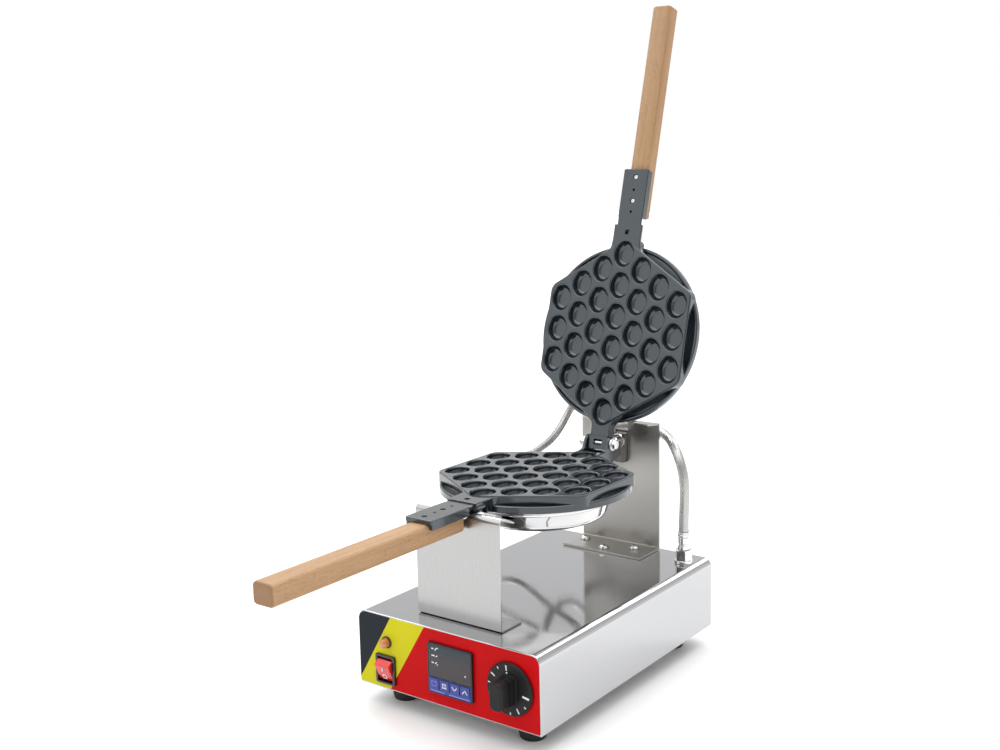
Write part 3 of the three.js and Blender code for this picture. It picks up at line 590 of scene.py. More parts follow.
STEEL_V = steel("steel_brushed_upright", (0.42, 0.407, 0.385), 0.32, (5, 5, 0.03), spread=0.03, bump=0.0008, smear=0.02, vary=0.05)
STEEL_B = steel("steel_brushed_bracket", (0.43, 0.428, 0.426), 0.28, (3, 3, 0.02), spread=0.01, bump=0.0001, smear=0.01, vary=0.012)
STEEL_X = steel("steel_brushed_plain", (0.62, 0.62, 0.61), 0.34, (0.04, 5, 5))
COVER = mirror("steel_bright_cover", (0.54, 0.543, 0.554), 0.08)
PAN = mirror("steel_polished_pan", (0.72, 0.715, 0.71), 0.045, 0.06)
BRIGHT = bright("steel_bright_fastener", (0.78, 0.78, 0.77), 0.16)
# the pivot block's steel is coloured dark: painted shade for the shaded slot behind the upright
PAINTED_SHADE_STEEL = steel("steel_painted_shade", (0.20, 0.19, 0.18), 0.45, (0.5, 0.5, 0.5))
CAST = nonstick("casting_nonstick")
# the upper grip uses the same beech in a lighter, cooler tone: painted light on the upper grip
WOOD = {"lower": wood("beech_lower"), "upper": wood("beech_upper", (1.06, 1.12, 1.25), 0.6608)}
RUBBER = rubber("rubber_black")
BLACK = plastic("plastic_black", lin(26, 27, 30), 0.34)
KNOB = plastic("plastic_black_knob", lin(19, 20, 22), 0.5, Specular=0.3)
BLACK_SHINE = plastic("plastic_black_gloss", lin(22, 23, 26), 0.2, coat=0.3)
FILM_RED = film("film_red", lin(190, 8, 14))
FILM_YELLOW = film("film_yellow", lin(200, 194, 30))
FILM_BLACK = film("film_black", lin(37, 42, 48))
WHITE_INK = ink("ink_white", lin(235, 236, 238))
BLUE = plastic("membrane_blue", lin(42, 58, 146), 0.3, coat=0.2)
BLUE_LIGHT = ink("ink_blue_light", lin(132, 142, 232))
RED = plastic("plastic_red", lin(222, 22, 24), 0.2, depth=0.002, coat=0.5, Subsurface=0.15)
BRAID_FEED = braid("braid_feed", 12, 4.2, (0.62, 0.615, 0.60))
BRAID_JUMPER = braid("braid_jumper", 10, 3.6, (0.62, 0.615, 0.60))


def window_material():
    """Smoked display window: glossy over a dim graded field."""
    p = Paint("display_window")
    x, y, z = p.xyz()
    g = p.noise(0.4, detail=3)
    c = p.mix(p.span(z, 0.046, 0.060), lin(74, 71, 74), lin(50, 66, 74))
    c = p.mix(p.span(g, 0.3, 0.7, 0, 0.25), c, lin(60, 58, 62))
    return p.done(Base_Color=c, Roughness=0.14, Specular=0.18, Coat=0.1, Normal=p.bump(g, 0.01, 0.5))


def lens_material():
    p = Paint("lens_amber")
    g = p.noise(0.8, detail=2)
    x, y, z = p.xyz()
    c = p.mix(p.span(g, 0.3, 0.7), lin(196, 104, 52), lin(226, 150, 96))
    return p.done(Base_Color=c, Roughness=0.14, Coat=0.8, Subsurface=0.3, Transmission=0.15, Normal=p.bump(g, 0.02, 0.5))


WINDOW = window_material()
LENS = lens_material()


# ------------------------------------------------------------------ conduits
def route(points, step=1.5):
    """Smooth curve through the points, evened out along its length."""
    p = [np.array(q, float) for q in points]
    p = [2 * p[0] - p[1]] + p + [2 * p[-1] - p[-2]]
    fine = []
    for i in range(1, len(p) - 2):
        p0, p1, p2, p3 = p[i - 1 : i + 3]
        d0, d1, d2 = (math.sqrt(float(np.linalg.norm(b - a))) for a, b in ((p0, p1), (p1, p2), (p2, p3)))
        t1 = ((p1 - p0) / d0 - (p2 - p0) / (d0 + d1) + (p2 - p1) / d1) * d1
        t2 = ((p2 - p1) / d1 - (p3 - p1) / (d1 + d2) + (p3 - p2) / d2) * d1
        for u in np.linspace(0, 1, 40, endpoint=False):
            fine.append(p1 + t1 * u + (-3 * p1 + 3 * p2 - 2 * t1 - t2) * u**2 + (2 * p1 - 2 * p2 + t1 + t2) * u**3)
    fine.append(p[-2])
    fine = np.array(fine)
    s = np.concatenate([[0], np.cumsum(np.linalg.norm(np.diff(fine, axis=0), axis=1))])
    n = int(round(s[-1] / step))
    at = np.linspace(0, s[-1], n + 1)
    return np.stack([np.interp(at, s, fine[:, k]) for k in range(3)], 1), float(s[-1])


def hose(name, points, r, sides, material, nodes, body):
    path, length = route(points)
    t = np.gradient(path, axis=0)
    t /= np.linalg.norm(t, axis=1, keepdims=True)
    side = np.cross(t[0], [0.3, 0.2, 0.9])
    side /= np.linalg.norm(side)
    v, f = [], []
    along = np.concatenate([[0], np.cumsum(np.linalg.norm(np.diff(path, axis=0), axis=1))])
    for i, c in enumerate(path):
        side = side - t[i] * (side @ t[i])
        side /= np.linalg.norm(side)
        other = np.cross(t[i], side)
        for k in range(sides):
            a = 2 * math.pi * k / sides
            v.append(c + r * (math.cos(a) * side + math.sin(a) * other))
    n = len(path)
    for i in range(n - 1):
        for k in range(sides):
            q = (k + 1) % sides
            f.append([i * sides + k, i * sides + q, (i + 1) * sides + q, (i + 1) * sides + k])
    f.append(list(range(sides))[::-1])
    f.append(list(range((n - 1) * sides, n * sides)))
    v = np.array(v)
    m = np.array(BASE)
    world = (v @ m[:3, :3].T + m[:3, 3]) * MM
    me = bpy.data.meshes.new(name)
    me.from_pydata([tuple(p) for p in world.tolist()], [], f)
    me.update()
    a = me.attributes.new("own", "FLOAT_VECTOR", "POINT")
    a.data.foreach_set("vector", (v * MM).astype(np.float32).ravel())
    uv = me.uv_layers.new(name="wrap")
    co = np.zeros((len(me.loops), 2), np.float32)
    for poly in me.polygons:
        ks = [me.loops[j].vertex_index for j in poly.loop_indices]
        turn_ = [i % sides for i in ks]
        wrap = max(turn_) - min(turn_) > 1 and len(ks) == 4
        for j, i in zip(poly.loop_indices, ks):
            k = i % sides
            co[j] = ((k + (sides if wrap and k == 0 else 0)) / sides, along[i // sides] * MM)
    uv.data.foreach_set("uv", co.ravel())
    me.materials.append(material)
    me.shade_smooth()
    me.set_sharp_from_angle(angle=math.radians(60))
    o = bpy.data.objects.new(name, me)
    bpy.context.scene.collection.objects.link(o)
    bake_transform(o)
    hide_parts(*nodes)
    return o


FEED = [[88, 289, 107.4], [88, 289, 119.4], [88.5, 288.9, 131.4], [89, 288.7, 143.4], [88.8, 288.7, 155.4], [87, 289.4, 167.3], [82.9, 291.3, 178.3], [76.5, 295.4, 187.5],
        [68.7, 301.7, 193.8], [60.2, 309.4, 197.6], [50.7, 316.4, 199.8], [40.2, 321.9, 201.3], [28.9, 325.8, 202.4], [17.2, 328.6, 203.1], [5.4, 330.4, 202.9], [-6.5, 331.5, 201.5],
        [-18, 331.8, 198.3], [-28.9, 331.3, 193.2], [-38.8, 329.8, 186.6], [-47.3, 327, 178.7], [-54.3, 322.7, 169.9], [-59.5, 316.2, 161.3], [-62.2, 307.2, 154], [-62.7, 296.4, 148.9],
        [-62, 284.8, 146], [-60.8, 272.8, 145.3], [-59.7, 261.2, 147.5], [-58.7, 250.1, 152.2], [-56.5, 239.5, 157.5], [-51.6, 229.1, 160], [-47.35, 222.3, 160]]
JUMPER = [[-14.95, 234.6, 160], [-17.3, 246, 159.8], [-23.3, 252.9, 157.6], [-33.3, 254.2, 152.9], [-45.2, 251.9, 146.4], [-56.8, 248.5, 139], [-66.8, 245.1, 131.3], [-75.5, 241.5, 123.3],
          [-84.5, 237.4, 116.3], [-94.6, 233, 111.9], [-105.1, 229.3, 112.1], [-114.5, 227.6, 117.5], [-121, 228.6, 126.8], [-123.6, 232, 137.5], [-121.9, 237.1, 147.4], [-116.7, 243, 155.4],
          [-109, 249.3, 161.8], [-99.7, 255.4, 167.4], [-89.6, 261.2, 172.8], [-79.9, 266.4, 178.9], [-71.3, 271.1, 186.3], [-64.8, 276.2, 194.8], [-61.1, 282.9, 204.1], [-59.5, 290.9, 213.6],
          [-56.9, 297.7, 223], [-50.95, 301.7, 232.5]]
hose("feed_hose", FEED, 5.2, 28, BRAID_FEED, ["feed_conduit"], None)
hose("jumper_hose", JUMPER, 4.0, 24, BRAID_JUMPER, ["jumper_conduit"], None)


# ------------------------------------------------------------------ base
def at_panel(spot, solid):
    return put(solid, shift(spot[0], 0, spot[1]))


W2 = BASE_W / 2
outer = rounded([(-W2, 0, 0), (W2, 0, 0), (W2, BASE_H, 9), (-W2, BASE_H, 9)], 0, 10)
inner = rounded([(-W2 + SHEET, -1, 0), (W2 - SHEET, -1, 0), (W2 - SHEET, BASE_H - SHEET, 7.8), (-W2 + SHEET, BASE_H - SHEET, 7.8)], 0, 8)
cover = cut(
    along_y(outer, 0, BASE_D, 1.0, 1.0, 4),
    along_y(inner, SHEET, BASE_D - SHEET),
    along_y(rect(CTRL[0] - 22.5, CTRL[0] + 22.5, CTRL[1] - 22.5, CTRL[1] + 22.5), -1, 2),
    along_y(rect(ROCKER[0] - 10.9, ROCKER[0] + 10.9, ROCKER[1] - 13.3, ROCKER[1] + 13.3), -1, 2),
    cylinder("y", 5.5, -1, 2, *LAMP),
    cylinder("y", 5.0, -1, 2, *TIMER),
    cylinder("z", 6.4, BASE_H - 3, BASE_H + 1, *FITTING),
    cylinder("y", 8.3, BASE_D - 3, BASE_D + 1, -62, 30),
    *[along_y(rect(-20 + 14 * i, -12 + 14 * i, 26, 50, 3.9, 6), BASE_D - 3, BASE_D + 1) for i in range(5)],
)
piece("cover", cover, "base", COVER, stands="base_cover", sharp=28)
piece("underside_plate", brick(-W2 + 1.7, W2 - 1.7, 1.7, BASE_D - 1.7, 0.0, SHEET, 2, 0.3), "base", STEEL_X, stands="bottom_plate")

film_outline = rounded([(-W2 + 0.8, 1.4, 1.2), (W2 - 0.8, 1.4, 1.2), (W2 - 0.8, BASE_H - 0.9, 8.4), (-W2 + 0.8, BASE_H - 0.9, 8.4)], 0, 8)
film_body = cut(
    along_y(film_outline, -0.42, 0.0, 0.12, 0, 2),
    along_y(rect(CTRL[0] - 22.5, CTRL[0] + 22.5, CTRL[1] - 22.5, CTRL[1] + 22.5), -1, 2),
    along_y(rect(ROCKER[0] - 10.9, ROCKER[0] + 10.9, ROCKER[1] - 13.3, ROCKER[1] + 13.3), -1, 2),
    cylinder("y", 5.5, -1, 2, *LAMP),
    cylinder("y", 5.0, -1, 2, *TIMER),
)


def edge_line(p, q, lo=-20, hi=100):
    """x of the border through two panel points, at two heights past the film."""
    k = (q[0] - p[0]) / (q[1] - p[1])
    return p[0] + k * (lo - p[1]), p[0] + k * (hi - p[1])


a0, a1 = edge_line((41.3 - W2, 72.9), (0.7 - W2, 4.9))
b0, b1 = edge_line((82.5 - W2, 72.5), (37.9 - W2, -0.1))
for nm, mat, poly, stands in (
    ("panel_film_black", FILM_BLACK, [(-300, -20), (a0, -20), (a1, 100), (-300, 100)], ()),
    ("panel_film_yellow", FILM_YELLOW, [(a0, -20), (b0, -20), (b1, 100), (a1, 100)], ()),
    ("panel_film_red", FILM_RED, [(b0, -20), (300, -20), (300, 100), (b1, 100)], ("front_overlay",)),
):
    piece(nm, common(film_body, along_y(np.array(poly, float), -3, 3)), "base", mat, stands=stands)

for nm, x, y in (("front_left_foot", -FOOT_X, FOOT_Y[0]), ("front_right_foot", FOOT_X, FOOT_Y[0]), ("rear_left_foot", -FOOT_X, FOOT_Y[1]), ("rear_right_foot", FOOT_X, FOOT_Y[1])):
    prof = soft_profile([(0, -FOOT_H + 5), (3.4, -FOOT_H + 5), (3.4, -FOOT_H, 0.5), (12.0, -FOOT_H, 1.2), (13.1, -FOOT_H + 5, 1.0), (13.3, -7.0, 0.6), (12.3, -6.2, 0.5), (12.3, -4.6, 0.5), (14.2, -3.6, 0.8), (14.2, -0.3, 0.4), (0, -0.3)], 0, 4)
    piece(nm + "_rubber", lathe(prof, 48), "base", RUBBER, place=BASE @ shift(x, y, 0), stands=nm, sharp=40)

# ------------------------------------------------------------------ front bracket
BY, BT, BZ0, BZT = 24.2, 1.5, BASE_H + 0.3, 179.4
DY, DZ, Q = 23.0, -23.0 * math.tan(math.radians(25)), 1.62
strip = rounded(
    [(BY + 31.4, BZ0), (BY, BZ0, 2.4), (BY, BZT + 3.4, 5.5), (BY + DY, BZT + 3.4 + DZ), (BY + DY - 0.63, BZT + 3.4 + DZ - 1.36), (BY + BT, BZT + 3.4 - Q - 0.466 * BT, 4), (BY + BT, BZ0 + BT, 0.9), (BY + 31.4, BZ0 + BT)],
    0, 8)
bracket = cut(
    along_x(strip, -51, 47, 0.22, 0.22, 2),
    cylinder("y", JOURNAL_R + 0.3, BY - 3, BY + 34, 0, PART_Z, 72),
    cylinder("z", 2.3, BZ0 - 2, BZ0 + 5, -33, BY + 20, 20),
    cylinder("z", 2.3, BZ0 - 2, BZ0 + 5, 29, BY + 20, 20),
)
piece("bracket", bracket, "base", STEEL_B, stands="front_bracket", sharp=30)


def cross_slot(width, reach, z0, z1):
    """Cross-shaped driver recess."""
    w, r = width / 2, reach
    return prism(np.array([(w, w), (w, r), (-w, r), (-w, w), (-r, w), (-r, -w), (-w, -w), (-w, -r), (w, -r), (w, -w), (r, -w), (r, w)], float), z0, z1)


def domed_screw(r, z0, h, shank, tip):
    prof = [(0, tip), (shank, tip), (shank, z0)] + soft_profile([(shank, z0), (r, z0, 0.2), (r, z0 + h * 0.3, 0.5), (r * 0.82, z0 + h * 0.72, r * 0.5), (r * 0.45, z0 + h * 0.97, r * 0.8), (0, z0 + h)], 0, 5)[1:]
    return cut(lathe(prof, 40), cross_slot(r * 0.2, r * 0.52, z0 + h * 0.5, z0 + h + 3))


for nm, x in (("front_bracket_screw_left", -33), ("front_bracket_screw_right", 29)):
    piece(nm + "_head", put(domed_screw(4.2, BT + 0.1, 2.9, 2.0, 0.8), turn(25 if x < 0 else 70, "Z")), "base", BRIGHT, place=BASE @ shift(x, BY + 20, BZ0), stands=nm)

# ------------------------------------------------------------------ rear upright
UY, UT, UTOP = 309.4, 2.2, 213.4
strip = rounded([(UY - 40.8, BZ0), (UY + UT, BZ0, 2.9), (UY + UT, UTOP), (UY, UTOP), (UY, BZ0 + UT, 0.8), (UY - 40.8, BZ0 + UT)], 0, 6)
screws = [("upright_screw_left", -38, 293.5, 10), ("upright_screw_middle", -3.5, 277, 55), ("upright_screw_right", 25, 293.5, 80)]
upright = along_x(strip, -51, 46.5, 0.25, 0.25, 2)


def lip(xa, xb, slant):
    q = [(xa, UY + 0.6, 0.3), (xb, UY + 0.6, 0.3), (xb - (8 if slant > 0 else 0), UY - 9.5, 1.2), (xa + (8 if slant < 0 else 0), UY - 9.5, 1.2)]
    return prism(rounded(q, 0, 4), UTOP - 2, UTOP, 0.25, 0.25, 2)


upright = joined(upright, lip(20, 46.0, 1), lip(-50.5, -24, -1))
slot_hole = along_y(rounded([(-8, 166, 3.5), (8, 166, 3.5), (8, UTOP + 5), (-8, UTOP + 5)], 0, 6), UY - 3, UY + UT + 3)
upright = cut(upright, slot_hole, *[cylinder("z", 2.3, BZ0 - 2, BZ0 + 5, x, y, 20) for _, x, y, _ in screws])
piece("upright", upright, "base", STEEL_V, stands="rear_upright", sharp=30)
for nm, x, y, a in screws:
    piece(nm + "_head", put(domed_screw(5.2, UT + 0.1, 3.9, 2.0, 0.8), turn(a, "Z")), "base", BRIGHT, place=BASE @ shift(x, y, BZ0), stands=nm)
tongue = along_y(rounded([(-7.7, 166.3, 3.5), (7.7, 166.3, 3.5), (7.7, 199, 0.8), (-7.7, 199, 0.8)], 0, 5), 303.6, 313, 0.6, 0, 3)
backing = along_y(rounded([(-13, 164, 3), (13, 164, 3), (13, 201, 2), (-13, 201, 2)], 0, 5), UY + UT + 0.1, 318, 0.3, 0.8, 3)
block = cut(joined(tongue, backing), cylinder("y", 5.3, 300, 321, 0, PART_Z, 40))
# pivot block in the dark steel colour, which is painted shade
piece("pivot_bearing", block, "base", PAINTED_SHADE_STEEL, stands="pivot_bearing_block")

# ------------------------------------------------------------------ conduit fitting and mains inlet


def hex_nut(flats, z0, z1, bore, turned_by=0.0, top=True, low=True):
    """Hexagon with turned chamfers on its corners and a bored hole."""
    r = flats / math.sqrt(3)
    c = (r - flats / 2) * 1.02
    h = c * 0.62
    prof = [(0, z0), (r - c, z0), (r + 0.05, z0 + h)] if low else [(0, z0), (r + 0.05, z0)]
    prof += [(r + 0.05, z1 - h), (r - c, z1), (0, z1)] if top else [(r + 0.05, z1), (0, z1)]
    body = common(prism(hexagon(flats, turned_by), z0, z1), lathe(prof, 72))
    if bore:
        body = cut(body, cylinder("z", bore, z0 - 3, z1 + 3, 0, 0, 40))
    return body


fit = BASE @ shift(FITTING[0], FITTING[1], BASE_H)
body = lathe(soft_profile([(0, -9), (6, -9), (6, 0.05), (9.6, 0.05, 0.3), (9.6, 3.4, 0.8), (0, 3.4)], 0, 4), 56)
nut = hex_nut(15.9, 3.3, 14.4, 0, 8)
body = cut(joined(body, nut), cylinder("z", 3.6, -12, 30, 0, 0, 32))
piece("fitting_nut", body, "base", BRIGHT, place=fit, stands="conduit_fitting")
ferr = soft_profile([(3.6, 14.6), (6.2, 14.6, 0.4), (6.2, 18.2, 0.5), (5.0, 18.9, 0.5), (5.0, 20.2, 0.5), (5.8, 21.0, 0.6), (5.8, 27.2, 0.6), (5.2, 28.0, 0.5), (6.5, 28.8, 0.6), (6.5, 30.6, 0.6), (5.7, 31.2, 0.4), (5.7, 31.8, 0.4), (6.4, 32.4, 0.6), (6.4, 33.6, 0.5), (3.6, 33.6)], 0, 4)
piece("ferrule_crimped", lathe(ferr, 48, wrap=True), "base", BRIGHT, place=fit, stands="conduit_ferrule")

gland_nut = hex_nut(21, 0.2, 6.2, 0, 0)
gland = joined(lathe(soft_profile([(0, -12), (7.6, -12, 0.6), (7.6, 4), (8.8, 6.0), (10.2, 8.0, 0.8), (8.8, 14.8, 1.2), (6.2, 16, 0.8), (0, 16)], 0, 4), 48), gland_nut)
gland = cut(gland, cylinder("z", 4.2, -14, 18, 0, 0, 32))
piece("inlet_gland", facing("y", gland, (-62, BASE_D, 30)), "base", BLACK, stands="mains_inlet_gland")

# ------------------------------------------------------------------ temperature controller
cx, cz = CTRL
bezel = along_y(rect(cx - 26.0, cx + 26.0, cz - 24.1, cz + 24.1, 2.0, 6), -3.6, -0.45, 0.8, 0.2, 4)
bezel = cut(
    bezel,
    along_y(rect(cx - 24.7, cx + 24.7, cz - 8.1, cz + 22.9, 1.2, 4), -8, -3.0),
    along_y(rect(cx - 24.7, cx + 24.7, cz - 22.9, cz - 8.6, 1.2, 4), -8, -3.3),
    *[along_y(rect(cx - 23.7 + 12 * i, cx - 12.3 + 12 * i, cz - 19.8, cz - 9.2, 1.0, 3), -8, -1.7) for i in range(4)],
)
piece("controller_frame", bezel, "base", BLACK, stands="controller_bezel")
piece("controller_glass", along_y(rect(cx - 24.5, cx + 24.5, cz - 7.9, cz + 22.7, 1.1, 4), -3.5, -3.0, 0.2, 0, 3), "base", WINDOW, stands="controller_window")
strip_blue = along_y(rect(cx - 24.5, cx + 24.5, cz - 22.7, cz - 8.8, 1.1, 4), -3.52, -3.3, 0.1, 0, 2)
strip_blue = cut(strip_blue, *[along_y(rect(cx - 23.7 + 12 * i, cx - 12.3 + 12 * i, cz - 19.8, cz - 9.2, 1.0, 3), -8, -1.7) for i in range(4)])
piece("controller_strip", strip_blue, "base", BLUE)


def flat_mark(name, polys, y, body, material, thick=0.07, place=BASE):
    """Printed marks: thin shapes in XZ standing on a face that looks towards -y."""
    return piece(name, together(*[along_y(np.array(q, float), y - thick, y + 0.02) for q in polys]), body, material, place=place, weigh=False)


def bar(x0, z0, x1, z1, w):
    """Straight stroke between two points."""
    d = np.array([x1 - x0, z1 - z0], float)
    n = np.array([-d[1], d[0]]) / np.linalg.norm(d) * w / 2
    a, b = np.array([x0, z0]), np.array([x1, z1])
    return [a - n, b - n, b + n, a + n]


for i in range(4):
    kx = cx - 18 + 12 * i
    key = along_y(rect(kx - 5.4, kx + 5.4, cz - 19.5, cz - 9.5, 0.9, 4), -4.35, -2.9, 0.35, 0, 4)
    piece(f"key_cap_{i + 1}", key, f"key_{i + 1}", BLUE, stands=f"controller_key_{i + 1}")
    kz = cz - 14.3
    marks = [
        [bar(kx - 2.6, kz - 2.2, kx + 2.6, kz - 2.2, 0.45), bar(kx - 2.6, kz + 2.2, kx + 2.6, kz + 2.2, 0.45), bar(kx - 2.6, kz - 2.2, kx - 2.6, kz + 2.2, 0.45), bar(kx + 2.6, kz - 2.2, kx + 2.6, kz + 2.2, 0.45)],
        [bar(kx - 2.8, kz - 1.8, kx + 2.8, kz - 1.8, 0.9), bar(kx - 2.6, kz + 1.9, kx + 2.6, kz + 1.9, 0.6), bar(kx - 2.0, kz - 1.8, kx - 2.0, kz + 1.9, 0.6), bar(kx + 2.0, kz - 1.8, kx + 2.0, kz + 1.9, 0.6), bar(kx, kz - 1.8, kx, kz + 1.9, 0.6)],
        [bar(kx - 2.8, kz + 1.7, kx + 0.2, kz - 2.0, 0.8), bar(kx - 0.2, kz - 2.0, kx + 2.8, kz + 1.7, 0.8)],
        [bar(kx - 2.8, kz - 1.9, kx + 0.2, kz + 1.8, 0.8), bar(kx - 0.2, kz + 1.8, kx + 2.8, kz - 1.9, 0.8)],
    ][i]
    flat_mark(f"key_mark_{i + 1}", marks, -4.35, f"key_{i + 1}", WHITE_INK if i else BLUE_LIGHT)
flat_mark("controller_line", [bar(cx - 22.6, cz - 21.4, cx - 6, cz - 21.4, 1.0), bar(cx - 1, cz - 21.4, cx + 22.6, cz - 21.4, 1.0)], -3.52, "base", BLUE_LIGHT)
for k, (za, shapes) in enumerate([
    (19.0, [bar(-20.6, 0, -18.2, 0, 1.1), bar(-16.6, -1.2, -14.4, 1.4, 1.0), bar(-14.0, 1.2, -12.6, 1.2, 0.8)]),
    (12.4, [bar(-20.6, 0, -17.0, 0, 1.1), bar(-15.6, -0.6, -13.8, 0.4, 0.9)]),
    (5.6, [bar(-20.6, 0, -18.0, 0, 1.1), bar(-16.6, -0.8, -14.6, 0.9, 0.9), bar(-14.8, -1.4, -13.2, -1.4, 0.8)]),
]):
    flat_mark(f"window_mark_{k + 1}", [[(cx + q[0], cz + za + q[1]) for q in s] for s in shapes], -3.5, "base", WHITE_INK)
flat_mark("window_dot", [circle(0.75, 14, cx + 18.4, cz + 0.5)], -3.5, "base", WHITE_INK)

# ------------------------------------------------------------------ rocker switch
rx, rz = ROCKER
housing = joined(
    along_y(rect(rx - 12, rx + 12, rz - 14.4, rz + 14.4, 1.8, 5), -3.0, -0.45, 0.8, 0.1, 4),
    along_y(rect(rx - 10.5, rx + 10.5, rz - 12.9, rz + 12.9, 1.0, 4), -1.2, 24, 0, 0.5, 2),
)
housing = cut(housing, along_y(rect(rx - 9.2, rx + 9.2, rz - 12.3, rz + 12.3, 0.8, 4), -4, 12))
piece("switch_frame", housing, "base", BLACK_SHINE, stands="rocker_housing")
rocker = along_x(rounded([(-0.4, -11.2, 0.8), (-8.2, 5.6, 0.9), (-2.8, 9.9, 0.8), (3.5, 8.8, 1), (8, 0, 2), (3.5, -9.3, 1)], 0, 5), -8.8, 8.8, 0.5, 0.5, 3)
piece("switch_rocker", at_panel(ROCKER, rocker), "rocker_button", RED, stands="rocker")
slope = shift(rx, -8.2, rz + 5.6) @ Matrix.Rotation(math.atan2(7.8, 16.8), 4, "X")
ring = cut(along_y(circle(2.9, 32, -0.9, -14.0), -0.12, 0.1), along_y(circle(1.9, 32, -0.9, -14.0), -1, 1))
piece("switch_mark_off", ring, "rocker_button", WHITE_INK, place=BASE @ slope, weigh=False)
piece("switch_mark_on", along_y(np.array(bar(-1.5, -7.4, -0.2, -3.0, 0.95)), -0.12, 0.1), "rocker_button", WHITE_INK, place=BASE @ slope, weigh=False)

# ------------------------------------------------------------------ indicator lamp
lens = lathe(soft_profile([(0, -3.5), (4.75, -3.5, 0.3), (4.75, 4.6, 0.6), (4.3, 6.6, 1.6), (2.4, 8.1, 1.6), (0, 8.4)], 0, 5), 40)
piece("lamp_dome", facing("-y", lens, (LAMP[0], 0, LAMP[1])), "base", LENS, stands="lamp_lens", sharp=40)
lamp_ring = lathe(soft_profile([(4.8, -14), (5.3, -14, 0.2), (5.3, 0.45), (5.9, 0.45, 0.1), (5.9, 1.5, 0.4), (5.4, 2.1, 0.4), (4.8, 1.9, 0.2)], 0, 3), 40, wrap=True)
piece("lamp_ring", facing("-y", lamp_ring, (LAMP[0], 0, LAMP[1])), "base", BLACK_SHINE, stands="lamp_bezel")

# ------------------------------------------------------------------ timer knob
tx, tz = TIMER
skirt = lathe(soft_profile([(0, 1.2), (22.6, 1.2), (24.4, 1.2, 0.4), (24.8, 2.4, 0.6), (23.9, 3.9, 0.9), (22.9, 4.25, 1.0), (0, 4.25)], 0, 4), 96)
neck = prism(rect(-8.4, 8.4, -13.4, 13.4, 5.0, 8), 3.9, 13.0, 0, 0)
neck_fillet = prism(rect(-9.0, 9.0, -14.0, 14.0, 5.4, 8), 3.9, 5.2, 0, 0.9, 4)
grip = prism(rect(-7.1, 7.1, -13, 13, 5.6, 8), 11.5, 24, 0, 2.0, 5)
knob = joined(skirt, neck_fillet, neck, grip)
knob = cut(knob, cylinder("z", 3.3, 0, 7, 0, 0, 24))
piece("timer_grip", facing("-y", knob, (tx, 0, tz)), "timer", KNOB, stands="timer_knob", sharp=35)
polys = []
for k in range(11):
    a = math.radians(96 + 25.5 * k)
    c, s = math.cos(a), math.sin(a)
    if k == 10:
        polys.append(bar(15.2 * c, 15.2 * s, 22.4 * c, 22.4 * s, 1.9))
    elif k % 2 == 0:
        polys.append(bar(17.6 * c, 17.6 * s, 22.6 * c, 22.6 * s, 1.3))
    else:
        polys.append(bar(20.3 * c, 20.3 * s, 22.6 * c, 22.6 * s, 1.1))
polys.append(circle(0.85, 14, 15.6 * math.cos(math.radians(96)), 15.6 * math.sin(math.radians(96))))
flat_mark("timer_scale", [[(tx + q[0], tz + q[1]) for q in s] for s in polys], -4.25, "timer", WHITE_INK)

# ------------------------------------------------------------------ mould castings
cups = [(c * COL, (j - (5 - abs(c)) / 2) * PITCH) for c in range(-3, 4) for j in range(6 - abs(c))]


def cup_tools(n=44):
    """Cup shapes: rounded rim, bowl wall and a flat bottom."""
    rim, floor = 1.7, FACE_W + CUP_DEPTH
    prof = []                       # (scale of the opening, outward offset, depth)
    prof.append((0.0, 0.0, -1.5))
    prof.append((1.0, rim + 0.35, -1.5))
    prof.append((1.0, rim + 0.35, FACE_W - 0.001))
    for k in range(1, 6):
        a = k / 6 * math.pi / 2
        prof.append((1.0, rim * (1 - math.sin(a)), FACE_W + rim * (1 - math.cos(a))))
    top = FACE_W + rim * 0.95
    for k in range(0, 9):
        a = math.radians(70) * k / 8
        prof.append((0.48 + 0.52 * math.cos(a), 0.0, top + (floor - 0.12 - top) * math.sin(a) / math.sin(math.radians(70))))
    prof.append((0.635, 0.0, floor))
    prof.append((0.0, 0.0, floor))
    a = np.arange(n) * 2 * math.pi / n
    ca, sa = np.cos(a), np.sin(a)
    out = []
    for x, y in cups:
        v, rows = [], []
        for s, e, z in prof:
            if s == 0:
                rows.append([len(v)])
                v.append([x, y, z])
                continue
            rows.append(list(range(len(v), len(v) + n)))
            v += [[x + (CUP_A * s + e) * ca[k], y + (CUP_B * s + e) * sa[k], z] for k in range(n)]
        f = []
        for p, q in zip(rows, rows[1:]):
            for k in range(n):
                h = (k + 1) % n
                f.append([p[0], q[h], q[k]] if len(p) == 1 else [p[k], p[h], q[0]] if len(q) == 1 else [p[k], p[h], q[h], q[k]])
        out.append(oriented(v, f))
    return together(*out)


def half_round(v0, v1, top, r=NECK_W):
    """Half-round journal under the neck, from v0 to v1, flat on top."""
    a = np.linspace(math.asin(top / r) + 0.05, math.pi - math.asin(top / r) - 0.05, 28)
    pts = [(r * math.cos(t), r * math.sin(t)) for t in a]
    x = math.sqrt(r * r - top * top)
    pts = [(x - 1.0, top)] + pts + [(-x + 1.0, top)]
    return along_y(np.array(pts), v0, v1, 0.0, 0.5, 2)


